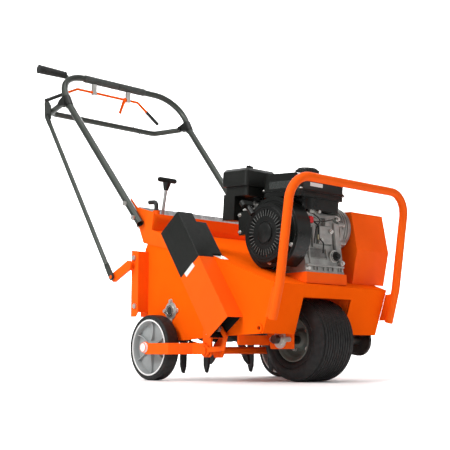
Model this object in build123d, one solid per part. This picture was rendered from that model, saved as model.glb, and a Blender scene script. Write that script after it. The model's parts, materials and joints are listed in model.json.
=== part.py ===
"""Walk-behind core aerator.  Millimetres, +Z up, front towards -Y, right side towards -X.

Every piece is drawn with y = 0 at the tine drum's axis and z = 0 on the ground.
The finished machine is then shifted so that the middle of its footprint is the origin.
"""
import os
from math import atan2, cos, degrees, hypot, pi, radians, sin

from build123d import *

# ---------------------------------------------------------------- driving dimensions
# Points across the machine are (y, z) pairs.
SHEET = 3.0                     # thickness of the folded steel
HALF_WIDTH = 240.0              # outside of the side panels
DECK_REAR = (105.0, 478.0)      # rear edge of the deck's top face
DECK_FRONT = (-464.0, 275.0)    # fold between deck and front panel
FRONT_FOOT = (-415.0, 137.0)    # lower edge of the front panel
PANEL_REAR = [(141.0, 118.0), (143.0, 417.0)]
TYRE_GAP = (-115.0, 88.0, 240.0)          # front panel's opening: x0, x1, top
TRAY = (-100.0, 72.0, -450.0, -275.0)     # engine platform: x0, x1, y0, y1
TRAY_TOP = 314.0

DRUM = (0.0, 213.0)             # tine drum's axis
TINE_TIP = 193.0
TINE_ROWS = 5
TINES_PER_ROW = 6
ROW_PITCH = 95.25
HUB_RADIUS = 95.0
DRUM_SHAFT = 19.0
DRUM_JOURNAL = 12.5             # radius of the shaft's ends in their bearings

FRONT_AXLE = (-359.0, 122.3)    # the height is also the tyre's radius
FRONT_HALF = 75.0
FRONT_RIM = 65.0
AXLE_RADIUS = 12.5
WELL_PLATES = (-117.0, 90.0)    # x of the two 5 mm plates that carry the axle

REAR_WHEEL = (34.0, 100.0)      # the height is also the wheel's radius
WHEEL_X = (255.0, 303.0)
REAR_RIM = 86.0
STUB_RADIUS = 8.0

CARRIAGE = (-180.0, 91.0)       # cross tube that the wheel arms swing about
TUBE_RADIUS = 11.0
CARRIAGE_TRAVEL = 27.0          # degrees from transport to full depth
CRANK_PIN = (-71.67, 110.10)    # lift link's lower pin, at transport
ROCKSHAFT = (155.0, 363.0)
ROCK_PIN = (144.24, 408.29)     # lift link's upper pin, at transport
LEVER_PIN = (235.0, 330.0)
BAIL_PIVOT = (624.0, 1009.0)
BAIL_PIN = (704.0, 976.0)
ROD_X = -309.0

HOOK_PIN = (-250.0, 155.0)      # assist spring's drawbar eye
DRAWBAR_WAY = (0.479, 0.878)
DRAWBAR_X = -262.0
DRAWBAR_LENGTH = 330.0
SPRING = (162.0, 280.0, 15.0, 3.5)        # bottom, top, coil radius, wire radius

HANDLE_FOOT = (258.0, 148.0, 503.0)
HANDLE_KNEE = (285.0, 575.0, 992.0)
HANDLE_TOP = (290.0, 662.0, 1141.0)
HANDLE_TUBE = 12.7
BAIL_CROSS = (718.0, 993.0)

ROLL_FOOT = (248.0, -462.0, 175.0)
ROLL_KNEE = (248.0, -492.0, 273.0)
ROLL_TOP = (248.0, -541.0, 565.0)

CRANK = (-359.0, 428.0)
OUTPUT = (-359.0, 462.0)
JACKSHAFT = (-91.0, 450.0)
BELT_X = 165.0
CHAIN_X = (212.0, 227.0)
JACK_SPROCKET = 27.0
DRUM_SPROCKET = 81.0
DRIVE_SPROCKET = 70.0
AXLE_SPROCKET = 44.2
OUTPUT_PULLEY = 38.0
JACK_PULLEY = 72.0
IDLER_PIVOT = (-160.0, 461.0)
IDLER = (-220.0, 436.0)
IDLER_RADIUS = 22.0

CLUTCH_AXIS = (660.0, 1092.0)
CLUTCH_PIN = (690.0, 1047.0)
CABLE_FOOT = (4.0, 128.0, 565.0)
DEPTH_AXIS = [(-170.0, 157.0, 489.0), (-170.0, 120.0, 655.0)]
LATCH = (-220.0, 112.0)
FUEL_CAP = (-26.0, -378.0, 622.0)
TIP_AXIS = (-360.0, 503.0)      # line that the tank and air cleaner are tipped forward about
NOSE_DOWN = 4.5                 # degrees
ROPE_WAY = (0.0, 0.635, 0.772)
RUNNING = 0.05                  # radial clearance of a running fit


# ---------------------------------------------------------------- drawing helpers
def box(x0, x1, y0, y1, z0, z1):
    middle = ((x0 + x1) / 2, (y0 + y1) / 2, (z0 + z1) / 2)
    return Pos(*middle) * Box(abs(x1 - x0), abs(y1 - y0), abs(z1 - z0))


def rod_x(x0, x1, at, radius):
    """Round bar along X between x0 and x1, through at = (y, z)."""
    return Pos((x0 + x1) / 2, *at) * Rot(0, 90, 0) * Cylinder(radius, abs(x1 - x0))


def ring_x(x0, x1, at, outer, inner):
    return rod_x(x0, x1, at, outer) - rod_x(min(x0, x1) - 1, max(x0, x1) + 1, at, inner)


def rod_z(x, y, z0, z1, radius):
    return Pos(x, y, (z0 + z1) / 2) * Cylinder(radius, abs(z1 - z0))


def turning(points):
    """The outline's points in anticlockwise order."""
    area = sum(a[0] * b[1] - b[0] * a[1] for a, b in zip(points, points[1:] + points[:1]))
    return points if area > 0 else points[::-1]


def plate_x(points, x0, x1):
    """Flat plate between x0 and x1 with the outline points = (y, z)."""
    face = Plane.YZ.offset(min(x0, x1)) * make_face(Polyline(*turning(points), close=True))
    return extrude(face, amount=abs(x1 - x0), dir=(1, 0, 0))


def plate_z(points, z0, z1):
    face = Plane.XY.offset(z0) * make_face(Polyline(*turning(points), close=True))
    return extrude(face, amount=z1 - z0, dir=(0, 0, 1))


def sheet(start, end, x0, x1, side=1, thick=SHEET):
    """Sheet across the machine, one face from start to end, thick to one side of it."""
    run = hypot(end[0] - start[0], end[1] - start[1])
    ny = -(end[1] - start[1]) / run * thick * side
    nz = (end[0] - start[0]) / run * thick * side
    points = [start, end, (end[0] + ny, end[1] + nz), (start[0] + ny, start[1] + nz)]
    return plate_x(points, x0, x1)


def bar(start, end, radius):
    """Round bar between two points in space."""
    start, end = Vector(*start), Vector(*end)
    way = end - start
    return Plane(origin=start, z_dir=way) * Cylinder(
        radius, way.length, align=(Align.CENTER, Align.CENTER, Align.MIN))


def strap(points, width, x0, x1):
    """Flat bar with round ends that follows points = (y, z)."""
    solid = rod_x(x0, x1, points[0], width / 2)
    for a, b in zip(points, points[1:]):
        run = hypot(b[0] - a[0], b[1] - a[1])
        tilt = degrees(atan2(b[1] - a[1], b[0] - a[0]))
        solid += Pos(0, *a) * Rot(tilt, 0, 0) * box(x0, x1, 0, run, -width / 2, width / 2)
        solid += rod_x(x0, x1, b, width / 2)
    return solid


def tube(points, radii, outer, wall=0.0):
    """Bent tube of straight runs joined by arcs."""
    path = FilletPolyline(*points, radius=radii)
    section = Circle(outer)
    if wall:
        section -= Circle(outer - wall)
    return sweep(Plane(origin=path @ 0, z_dir=path % 0) * section, path=path)


def turned(points, at, x=0.0):
    """Solid of revolution about a line along X; points = (x, radius)."""
    profile = make_face(Polyline(*turning(points), close=True))
    return Pos(x, *at) * revolve(profile, Axis.X)


def swing(at, length, angle):
    """Point at a length and an angle (degrees from +Y towards +Z) from at."""
    return at[0] + length * cos(radians(angle)), at[1] + length * sin(radians(angle))


def deck_height(y):
    slope = (DECK_REAR[1] - DECK_FRONT[1]) / (DECK_REAR[0] - DECK_FRONT[0])
    return DECK_FRONT[1] + slope * (y - DECK_FRONT[0])


def rounded(solid, axis, radius):
    return fillet(solid.edges().filter_by(axis), radius)


def hex_head(x0, x1, at, across):
    return Pos((x0 + x1) / 2, *at) * Rot(0, 90, 0) * extrude(
        RegularPolygon(across / 2, 6, major_radius=False), amount=abs(x1 - x0) / 2, both=True)


NODES = {}


def node(name, *solids):
    parts = []
    for solid in solids:
        parts += solid if isinstance(solid, list) else [solid]
    NODES[name] = parts


# ---------------------------------------------------------------- housing and frame
def housing():
    side = [*PANEL_REAR, DECK_REAR, DECK_FRONT, FRONT_FOOT, (-249, 133), (-81, 122)]
    between = HALF_WIDTH - SHEET
    deck = sheet(DECK_FRONT, DECK_REAR, -between, between, -1)
    deck -= box(TRAY[0], TRAY[1], TRAY[2], TRAY[3], 270, 380)
    deck -= box(140, 190, -170, -15, 340, 480)
    deck -= box(203, 222, -142, -28, 380, 480)
    front = sheet(FRONT_FOOT, DECK_FRONT, -between, between, -1) - deck
    front -= box(TYRE_GAP[0], TYRE_GAP[1], -480, -400, 100, TYRE_GAP[2])
    pieces = [deck, front]
    for out in (-1, 1):
        panel = plate_x(side, between * out, HALF_WIDTH * out)
        panel -= rod_x((HALF_WIDTH - 9) * out, (HALF_WIDTH + 5) * out, DRUM, DRUM_SHAFT + 3)
        panel += rod_x(HALF_WIDTH * out, (HALF_WIDTH + 5) * out, (-404, 152), 12)
        panel -= rod_x((HALF_WIDTH - 5) * out, (HALF_WIDTH + 9) * out, (-404, 152), 6.2)
        pieces.append(panel)
    pieces.append(sheet((-380, 137), (-249, 133), -between, -between + 25))
    pieces.append(sheet((45, 119.7), (140, 118), -between, -between + 25))
    pieces.append(sheet((-50, 121.4), (140, 118), between - 25, between))
    return pieces


def rear_box():
    outline = [(0, 405), (150, 440), (233, 606), (191, 566), (94, 536), (105, 480), (0, 443)]
    shell = plate_x(outline, -HALF_WIDTH - SHEET, -HALF_WIDTH)
    shell += plate_x(outline, HALF_WIDTH, HALF_WIDTH + SHEET)
    shell += sheet((150, 440), (205, 550), -HALF_WIDTH, HALF_WIDTH)
    shell += sheet((105, 478.2), (94, 532), -HALF_WIDTH, HALF_WIDTH, -1)
    shell += box(LATCH[0] - 7, LATCH[0] + 7, 98, 106, 505, 528)
    shell += rod_z(*LATCH, 505, 545, 12)
    shell -= rod_z(*LATCH, 500, 550, 7.5 + RUNNING)
    return shell


def rear_tray():
    tray = box(-237, 237, 108.5, 168, 483, 485)
    tray += sheet((168, 483.5), (187.6, 566), -237, 237, 1, 2.0)
    low, top = Vector(*DEPTH_AXIS[0]), Vector(*DEPTH_AXIS[1])
    tray += box(-190, -150, 142, 165.5, 484, 506)
    return tray - bar(tuple(low - (top - low).normalized() * 1.2), tuple(top), 5.5 + RUNNING)


def engine_pedestal():
    x0, x1, y0, y1 = TRAY
    wall = [(y0, deck_height(y0) + 0.3), (y0, TRAY_TOP), (y1, TRAY_TOP), (y1, deck_height(y1)),
            (y1 - 3, deck_height(y1)), (y1 - 3, TRAY_TOP - SHEET), (-370, TRAY_TOP - SHEET)]
    tray = box(x0, x1, y0, y1, TRAY_TOP - SHEET, TRAY_TOP)
    tray += box(x0, x1, y0, y0 + SHEET, deck_height(y0) + 2, TRAY_TOP)
    tray += box(x0, x1, y1 - SHEET, y1, TRAY_TOP - SHEET, deck_height(y1))
    for x in (x0, x1 - SHEET):
        tray += plate_x([(y0, deck_height(y0) + 1), (y0, TRAY_TOP), (-350, TRAY_TOP)], x, x + SHEET)
        tray += plate_x([(y1, TRAY_TOP - 2), (y1, deck_height(y1)), (-352, TRAY_TOP - 1),
                         (-352, TRAY_TOP - 2)], x, x + SHEET)
    return tray


def axle_carrier():
    plates = []
    for x in WELL_PLATES:
        outline = [(-425, 180), (-410.5, 137), (-410.5, 95), (-318, 95), (-300, 150),
                   (-300, TRAY_TOP - 5), (-390, deck_height(-390) - 4), (-450, deck_height(-450) - 4)]
        plate = plate_x(outline, x, x + 5)
        plate -= rod_x(x - 1, x + 6, FRONT_AXLE, AXLE_RADIUS + 3)
        plates.append(plate)
    plates[0] += box(-236.5, WELL_PLATES[0] + 1, -311, -306, 106, 134)
    return plates


def pivot_brackets():
    y, z = CARRIAGE
    solids = []
    for side in (-1, 1):
        ear = [(y - 22, z + 58), (y - 22, z - 12), (y - 12, z - 20), (y + 10, z - 20), (y + 17, z - 12),
               (y + 17, z + 58)]
        bracket = plate_x(ear, HALF_WIDTH * side, (HALF_WIDTH + 6) * side)
        bracket -= rod_x(-300, 300, CARRIAGE, TUBE_RADIUS + RUNNING)
        solids.append(bracket)
        arc = [(y - 30, 300), (y - 30, z - 6), (y - 18, z - 22), (y + 12, z - 22), (y + 22, z - 10),
               (y + 22, z + 10), (y - 8, z + 34), (y - 8, 300)]
        hanger = plate_x(arc, 198 * side, 204 * side)
        hanger -= rod_x(-300, 300, CARRIAGE, TUBE_RADIUS + 0.6)
        hanger += box(198 * side, (HALF_WIDTH - SHEET) * side, y - 30, y - 25, 250, 300)
        solids.append(hanger)
    return solids


def lift_channel(side):
    """Upright channel on the side panel that carries the rockshaft."""
    def x(out):
        return (HALF_WIDTH + out) * side
    strip = [(123, 212), (135, 198), (161, 198), (161, 414), (123, 408)]
    channel = plate_x(strip, x(0), x(3)) + plate_x(strip, x(38), x(41))
    channel += box(x(0), x(41), 123, 126, 212, 408)
    channel += rod_x(x(0), x(41), ROCKSHAFT, 17)
    return channel - rod_x(-400, 400, ROCKSHAFT, 10 + RUNNING)


def flange_bearing(x0, side, at, bore, reach, size, count, turn, thick=7.0):
    """Pressed flange bearing whose back stands on x0 and whose boss points to side."""
    plate = rod_x(x0, x0 + 3 * side, at, size)
    heads = []
    for step in range(count):
        foot = swing(at, reach, turn + step * 360 / count)
        plate += strap([at, foot], size * 0.55, x0, x0 + 3 * side)
        heads.append(foot)
    plate += rod_x(x0, x0 + thick * side, at, size * 0.62)
    return plate - rod_x(x0 - 20, x0 + 20, at, bore + RUNNING)


def pillow(x0, x1):
    """Pillow bearing of the jackshaft, standing on the deck."""
    y, z = JACKSHAFT
    left, right = y - 32, y + 32
    foot = [(left, deck_height(left) + 0.2), (right, deck_height(right) + 0.2),
            (right, deck_height(right) + 9), (y + 20, z), (y - 20, z), (left, deck_height(left) + 14)]
    block = plate_x(foot, x0, x1) + rod_x(x0, x1, JACKSHAFT, 21)
    return block - rod_x(x0 - 5, x1 + 5, JACKSHAFT, 10 + RUNNING)


def build_housing():
    node("housing", housing())
    node("rear_box", rear_box())
    node("rear_tray", rear_tray())
    node("engine_pedestal", engine_pedestal())
    node("axle_carrier", axle_carrier())
    node("pivot_brackets", pivot_brackets())
    node("lift_channels", lift_channel(-1), lift_channel(1))
    bearings = []
    for side in (-1, 1):
        bearings.append(flange_bearing(HALF_WIDTH * side, side, DRUM, DRUM_JOURNAL, 30, 28, 4, 90))
    bearings.append(flange_bearing(WELL_PLATES[0], -1, FRONT_AXLE, AXLE_RADIUS, 38, 26, 2, 0, 14))
    bearings.append(flange_bearing(WELL_PLATES[1] + 5, 1, FRONT_AXLE, AXLE_RADIUS, 38, 26, 2, 0, 14))
    bearings.append(pillow(98, 116))
    rear = pillow(190.5, 202.5)
    y, z = IDLER_PIVOT
    rear += plate_x([(y - 14, deck_height(y - 14) + 0.2), (y + 60, deck_height(y + 60) + 0.2),
                     (y + 60, z - 20), (y + 14, z + 10), (y - 14, z + 10)], 190.5, 194.5)
    rear += rod_x(178, 194.5, IDLER_PIVOT, 7)
    bearings.append(rear)
    node("shaft_bearings", bearings)


# ---------------------------------------------------------------- tine drum
def blade(x):
    outline = [(-13, 62), (13, 62), (13, 150), (11, 172), (3, TINE_TIP), (-4, TINE_TIP - 3), (-12, 170),
               (-13, 150)]
    return plate_x(outline, x - 4.5, x + 4.5)


def build_drum():
    tines, hubs = [], []
    for row in range(TINE_ROWS):
        x = (row - (TINE_ROWS - 1) / 2) * ROW_PITCH
        phase = 180.0 / TINES_PER_ROW if row == TINE_ROWS // 2 else 0.0
        hub = ring_x(x - 4, x + 4, DRUM, HUB_RADIUS, DRUM_SHAFT)
        hub += ring_x(x - 12, x + 12, DRUM, 30, DRUM_SHAFT)
        for step in range(TINES_PER_ROW):
            place = Pos(0, *DRUM) * Rot(phase + step * 360 / TINES_PER_ROW, 0, 0)
            tine = place * blade(x)
            hub -= tine
            tines.append(tine)
        hubs.append(hub)
    shaft = rod_x(-236, 236, DRUM, DRUM_SHAFT) + rod_x(-247.3, 247.3, DRUM, DRUM_JOURNAL)
    for x, radius in zip(CHAIN_X, (DRUM_SPROCKET, DRIVE_SPROCKET)):
        shaft += sprocket(x, DRUM, radius, DRUM_SHAFT)
    node("drum_shaft", shaft)
    node("tine_hubs", hubs)
    node("tines", tines)


def sprocket(x, at, radius, bore, thick=4.0):
    """Roller chain sprocket of 12.7 mm pitch."""
    count = round(2 * pi * radius / 12.7)
    wheel = rod_x(x - thick / 2, x + thick / 2, at, radius + 3)
    for tooth in range(count):
        gap = swing(at, radius + 1.2, 360 * tooth / count)
        wheel -= rod_x(x - thick, x + thick, gap, 4.2)
    return wheel - rod_x(x - 30, x + 30, at, bore - 1)


def band(a, ra, b, rb, thick, x, width):
    """Closed band round two wheels."""
    def outline(extra):
        dist = hypot(b[0] - a[0], b[1] - a[1])
        base = degrees(atan2(b[1] - a[1], b[0] - a[0]))
        lean = degrees(atan2(((dist ** 2 - (ra - rb) ** 2) ** 0.5), ra - rb))
        span = []
        for centre, radius, start, stop in ((a, ra, base + lean, base + 360 - lean),
                                            (b, rb, base - lean, base + lean)):
            grow = (radius + extra) / cos(radians((stop - start) / 48))
            for step in range(25):
                span.append(swing(centre, grow, start + (stop - start) * step / 24))
        return plate_x(span, x - width / 2, x + width / 2)
    return outline(thick) - outline(0)


# ---------------------------------------------------------------- front drive wheel
def build_front_wheel():
    radius, half, bead = FRONT_AXLE[1], FRONT_HALF, FRONT_RIM
    casing = [(-half + 12, bead), (-half + 2, bead + 10), (-half, radius - 34), (-half + 3, radius - 20),
              (-half + 12, radius - 9), (-half + 24, radius - 5), (half - 24, radius - 5),
              (half - 12, radius - 9), (half - 3, radius - 20), (half, radius - 34), (half - 2, bead + 10),
              (half - 12, bead)]
    tyre = turned(casing, FRONT_AXLE)
    ribs = 13
    pitch = (2 * half - 16) / ribs
    for rib in range(ribs):
        x = -half + 8 + pitch * (rib + 0.5)
        droop = max(0.0, abs(x) - half + 26) ** 2 * 0.022
        tyre += ring_x(x - 3.2, x + 3.2, FRONT_AXLE, radius - droop, radius - droop - 9)
    node("front_tyre", tyre)
    dish = [(-half + 12, bead), (-half + 8, bead), (-half + 8, bead - 9), (-half + 13, bead - 9),
            (-half + 15, bead - 4), (-34, bead - 5), (-30, 34), (-40, 24), (-40, AXLE_RADIUS),
            (40, AXLE_RADIUS), (40, 24), (-24, 36), (-28, bead - 5), (half - 15, bead - 4),
            (half - 13, bead - 9), (half - 8, bead - 9), (half - 8, bead)]
    node("front_rim", turned(dish, FRONT_AXLE))
    axle = rod_x(-145, 235, FRONT_AXLE, AXLE_RADIUS)
    axle += sprocket(CHAIN_X[1], FRONT_AXLE, AXLE_SPROCKET, AXLE_RADIUS)
    node("front_axle", axle)


# ---------------------------------------------------------------- rear wheels and their carriage
def rear_rim(side):
    """Moulded six-spoke wheel centre."""
    x0, x1 = WHEEL_X
    mid = (x0 + x1) / 2
    rim = ring_x(x0 + 2, x1 - 2, REAR_WHEEL, REAR_RIM, REAR_RIM - 6)
    rim += ring_x(x0, x1, REAR_WHEEL, 20, STUB_RADIUS + RUNNING)
    web = ring_x(mid - 3, mid + 3, REAR_WHEEL, REAR_RIM - 4, 17)
    for spoke in range(6):
        web -= rod_x(mid - 9, mid + 9, swing(REAR_WHEEL, 53, 60 * spoke), 18)
    rim += web
    for spoke in range(6):
        place = Pos(0, *REAR_WHEEL) * Rot(30 + 60 * spoke, 0, 0)
        rim += place * box(mid - 14, mid + 14, 18, REAR_RIM - 4, -3.5, 3.5)
    return rim if side > 0 else mirror(rim, Plane.YZ)


def rear_tyre(side):
    x0, x1 = WHEEL_X
    radius = REAR_WHEEL[1]
    profile = [(x0 + 2, REAR_RIM), (x0, REAR_RIM + 4), (x0 + 2, radius - 3), (x0 + 6, radius),
               (x1 - 6, radius), (x1 - 2, radius - 3), (x1, REAR_RIM + 4), (x1 - 2, REAR_RIM)]
    return turned([(x * side, r) for x, r in profile], REAR_WHEEL)


def wheel_arm(side):
    y = CARRIAGE[0]
    line = [(312, REAR_WHEEL[0]), (312, -85), (251, -125), (251, y)]
    outer = [(x + 3, q) for x, q in line]
    inner = [(x - 3, q) for x, q in reversed(line)]
    arm = plate_z([(x * side, q) for x, q in outer + inner], 79, 113)
    arm += rod_x(309 * side, 315 * side, REAR_WHEEL, 18)
    arm += rod_x(248 * side, 254 * side, CARRIAGE, 18)
    arm += rod_x(312 * side, 251 * side, REAR_WHEEL, STUB_RADIUS)
    arm += rod_x(303.6 * side, 310 * side, REAR_WHEEL, 13)
    arm += rod_x(248 * side, 254.5 * side, REAR_WHEEL, 12)
    arm += rod_x(315 * side, 323 * side, REAR_WHEEL, 15)
    arm += hex_head(254 * side, 260 * side, CARRIAGE, 24)
    return arm


def build_carriage():
    cross = rod_x(-248, 248, CARRIAGE, TUBE_RADIUS)
    cross += strap([CARRIAGE, CRANK_PIN], 20, -221, -215)
    cross += rod_x(-216, -231, CRANK_PIN, 5)
    node("carriage_bar", cross)
    right = wheel_arm(-1)
    right += strap([CARRIAGE, (-262, 97), (-272, 130), HOOK_PIN], 14, -254, -248)
    right += rod_x(-250, -268, HOOK_PIN, 5)
    node("wheel_arms", right, wheel_arm(1))
    for side, name in ((-1, "right"), (1, "left")):
        node("rear_rim_" + name, rear_rim(side))
        node("rear_tyre_" + name, rear_tyre(side))


# ---------------------------------------------------------------- lift linkage
def build_lift():
    shaft = rod_x(-300, 285, ROCKSHAFT, 10)
    shaft += strap([ROCKSHAFT, ROCK_PIN], 20, -221, -215)
    shaft += rod_x(-216, -231, ROCK_PIN, 5)
    shaft += strap([ROCKSHAFT, LEVER_PIN], 32, -300, -292)
    shaft += rod_x(-299, -313, LEVER_PIN, 6)
    node("lift_rockshaft", shaft)

    run = hypot(ROCK_PIN[0] - CRANK_PIN[0], ROCK_PIN[1] - CRANK_PIN[1])
    along = ((ROCK_PIN[0] - CRANK_PIN[0]) / run, (ROCK_PIN[1] - CRANK_PIN[1]) / run)
    line = []
    for reach, bow in ((0, 0), (70, 38), (300, 38), (340, 26), (run, 0)):
        line.append((CRANK_PIN[0] + along[0] * reach - along[1] * bow,
                     CRANK_PIN[1] + along[1] * reach + along[0] * bow))
    link = strap(line, 18, -229, -223) + rod_x(-229, -223, CRANK_PIN, 15)
    link -= rod_x(-240, -200, ROCK_PIN, 5 + RUNNING)
    node("lift_link", link - rod_x(-240, -200, CRANK_PIN, 9.6))

    way = (BAIL_PIN[0] - LEVER_PIN[0], BAIL_PIN[1] - LEVER_PIN[1])
    length = hypot(*way)
    way = (way[0] / length, way[1] / length)
    near = (LEVER_PIN[0] + way[0] * 52, LEVER_PIN[1] + way[1] * 52)
    far = (BAIL_PIN[0] - way[0] * 46, BAIL_PIN[1] - way[1] * 46)
    rod = bar((ROD_X, *near), (ROD_X, *far), 8)
    rod += strap([LEVER_PIN, near], 22, ROD_X - 3, ROD_X + 3)
    rod += strap([far, BAIL_PIN], 20, ROD_X - 3, ROD_X + 3)
    rod -= rod_x(-330, -290, LEVER_PIN, 6 + RUNNING)
    node("lift_rod", rod - rod_x(-330, -290, BAIL_PIN, 6.4))

    low, high = BAIL_CROSS
    py, pz = BAIL_PIVOT
    bail = tube([(-287, py + 8, pz - 1), (-287, low, high), (205, low, high), (287, py + 12, pz - 1)],
                [26, 40], 11)
    for side in (-1, 1):
        bail += rod_x(276 * side, 297 * side, BAIL_PIVOT, 12)
        bail -= rod_x(270 * side, 300 * side, BAIL_PIVOT, 6 + RUNNING)
    plate = [(py + 64, pz + 4), (py + 80, pz + 24), (py + 104, pz + 32), (py + 112, pz + 26),
             (low + 14, high - 6), (low + 2, high - 26), (low - 24, high - 34), (low - 34, high - 30)]
    bail += plate_x(plate, -303, -298)
    bail += rod_x(-303, -290, (low - 6, high), 9)
    bail += rod_x(-298, -313, BAIL_PIN, 6)
    node("lift_bail", bail)


# ---------------------------------------------------------------- assist spring and its guard
def leaning(start, end, front, rear):
    """Outline in the right guard's own directions: down its length, and front to rear."""
    lean = radians(35.4)
    down = (-sin(lean), -cos(lean))
    back = (cos(lean), -sin(lean))
    return [(-61 + down[0] * s + back[0] * n, 480 + down[1] * s + back[1] * n)
            for s, n in ((start, front), (start, rear), (end, rear), (end, front))]


def drawbar_point(reach):
    return HOOK_PIN[0] + DRAWBAR_WAY[0] * reach, HOOK_PIN[1] + DRAWBAR_WAY[1] * reach


def build_spring():
    face, outer = -HALF_WIDTH, -HALF_WIDTH - 58
    shell = plate_x(leaning(178, 399, -52, 52), face, outer)
    shell -= plate_x(leaning(170, 410, -49.5, 49.5), face + 1, outer + 2.5)
    shell -= rod_x(face + 1, outer + 2.5, (HOOK_PIN[0] + 5, HOOK_PIN[1] - 5), 24)
    node("spring_guard", shell)
    cap = plate_x(leaning(0, 178, -52, 52), face, outer)
    cap -= plate_x(leaning(2.5, 190, -49.5, 49.5), face + 1, outer + 2.5)
    inner = plate_x(leaning(35, 165, -52, 34), face, -202)
    inner -= plate_x(leaning(37.5, 162.5, -49.5, 31.5), face - 1, -204.5)
    deck = [(-500, deck_height(-500) + 0.3), (200, deck_height(200) + 0.3), (200, 0), (-500, 0)]
    inner -= plate_x(deck, face - 5, -190)
    node("spring_guard_cap", cap + inner)

    low, high, coil, wire = SPRING
    way = Vector(0, *DRAWBAR_WAY)
    eye = Vector(DRAWBAR_X, *HOOK_PIN)
    helix = Helix(pitch=(high - low - 2 * wire) / 9, height=high - low - 2 * wire, radius=coil)
    ring = Plane(origin=helix @ 0, z_dir=helix % 0) * Circle(wire)
    spring = sweep(ring, path=helix)
    spring = Plane(origin=eye + way * (low + wire), z_dir=way) * spring
    seat = bar(tuple(eye + way * (low - 5)), tuple(eye + way * low), 19)
    seat += plate_x([drawbar_point(low - 5), drawbar_point(low), swing(drawbar_point(low), 26, -20),
                     swing(drawbar_point(low - 30), 20, -20)], -HALF_WIDTH, -262)
    seat -= bar(tuple(eye + way * (low - 60)), tuple(eye + way * (low + 9)), 5 + RUNNING)
    node("assist_spring", seat, spring)
    drawbar = rod_x(-266, -258, HOOK_PIN, 12)
    drawbar += bar(tuple(eye + way * 8), tuple(eye + way * DRAWBAR_LENGTH), 5)
    drawbar += bar(tuple(eye + way * (high + 45)), tuple(eye + way * (high + 50)), 17)
    node("spring_drawbar", drawbar - rod_x(-300, -200, HOOK_PIN, 8.4))


# ---------------------------------------------------------------- handlebar
def build_handlebar():
    right = [(-HANDLE_FOOT[0], *HANDLE_FOOT[1:]), (-HANDLE_KNEE[0], *HANDLE_KNEE[1:]),
             (-HANDLE_TOP[0], *HANDLE_TOP[1:])]
    points = right + [HANDLE_TOP, HANDLE_KNEE, HANDLE_FOOT]
    node("handlebar", tube(points, [120, 115, 115, 120], HANDLE_TUBE, 2.2))
    top = HANDLE_TOP[1:]
    node("handlebar_sleeves", ring_x(-171, -18, top, 15, HANDLE_TUBE + 0.05),
         ring_x(-14, 112, top, 15, HANDLE_TUBE + 0.05))
    inner, outer = Vector(-236, 664, 1127), Vector(-350, 690, 1148)
    grip = turned([(0, 0), (0, 14), (-20, 13.5), (-110, 16.5), (-118, 14), (-118, 0)], (690, 1147), -239)
    grip += bar((-238, 658, 1120), (-238, 684, 1142), 7)
    node("side_grip", grip - tube(points, [120, 115, 115, 120], HANDLE_TUBE + 0.05))

    clamps = []
    leg = Vector(-285.6, 585, 1009)
    way = (Vector(-290, 662, 1141) - Vector(-285, 575, 992)).normalized()
    py, pz = BAIL_PIVOT
    collar = bar(tuple(leg - way * 22), tuple(leg + way * 22), 15.5)
    collar -= bar(tuple(leg - way * 30), tuple(leg + way * 30), HANDLE_TUBE + 0.05)
    ear = [(578, pz - 20), (py, pz - 10.5), (py + 9.5, pz), (py, pz + 10.5), (592, pz + 22)]
    for x0, x1 in ((-272.2, -269), (-304, -300.8)):
        collar += plate_x(ear, x0, x1)
    cut = tube(points, [120, 115, 115, 120], HANDLE_TUBE + 0.05)
    collar = collar - cut + rod_x(-304, -269, BAIL_PIVOT, 6) + rod_x(-269, -264, BAIL_PIVOT, 9)
    node("handlebar_clamps", collar, mirror(collar, Plane.YZ))


# ---------------------------------------------------------------- clutch control
def build_clutch():
    y, z = CLUTCH_AXIS
    points = [(-323, y + 26, z - 63), (-204, y, z), (80, y, z), (199, y + 26, z - 63)]
    bar_solid = tube(points, [20, 20], 5)
    arm = [(y - 9, z + 6), (y + 6, z + 9), (CLUTCH_PIN[0] + 9, CLUTCH_PIN[1] - 2),
           (CLUTCH_PIN[0] - 2, CLUTCH_PIN[1] - 9), (y - 9, z - 6)]
    bar_solid += plate_x(arm, 14, 18)
    node("clutch_bar", bar_solid)
    grips = []
    for knee, tip in ((points[1], points[0]), (points[2], points[3])):
        way = (Vector(*tip) - Vector(*knee)).normalized()
        start, end = Vector(*tip) - way * 78, Vector(*tip) + way * 4
        grips.append(bar(tuple(start), tuple(end), 7) - bar(knee, tip, 5 + RUNNING))
    node("clutch_bar_grips", grips)
    node("clutch_cable", bar((20.5, *CLUTCH_PIN), CABLE_FOOT, 1.5))
    return [box(x - 8, x + 8, y - 8, y + 8, z - 10, HANDLE_TOP[2] - 16.5)
            - rod_x(x - 20, x + 20, CLUTCH_AXIS, 5 + RUNNING) for x in (-128, 23 + 9)]


def build_depth():
    low, top = Vector(*DEPTH_AXIS[0]), Vector(*DEPTH_AXIS[1])
    way = (top - low).normalized()
    knob = bar(tuple(low), tuple(top), 5.5)
    knob += bar(tuple(top - way * 14), tuple(top + way * 2), 16)
    cross = Plane(origin=top, x_dir=(1, 0, 0), z_dir=way) * rounded(Box(82, 20, 17), Axis.Z, 9)
    node("depth_knob", knob + cross)
    x, y = LATCH
    node("latch_lever", tube([(x, y, 507), (x, y, 574), (x, y + 38, 578)], [14], 7.5))


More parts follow.
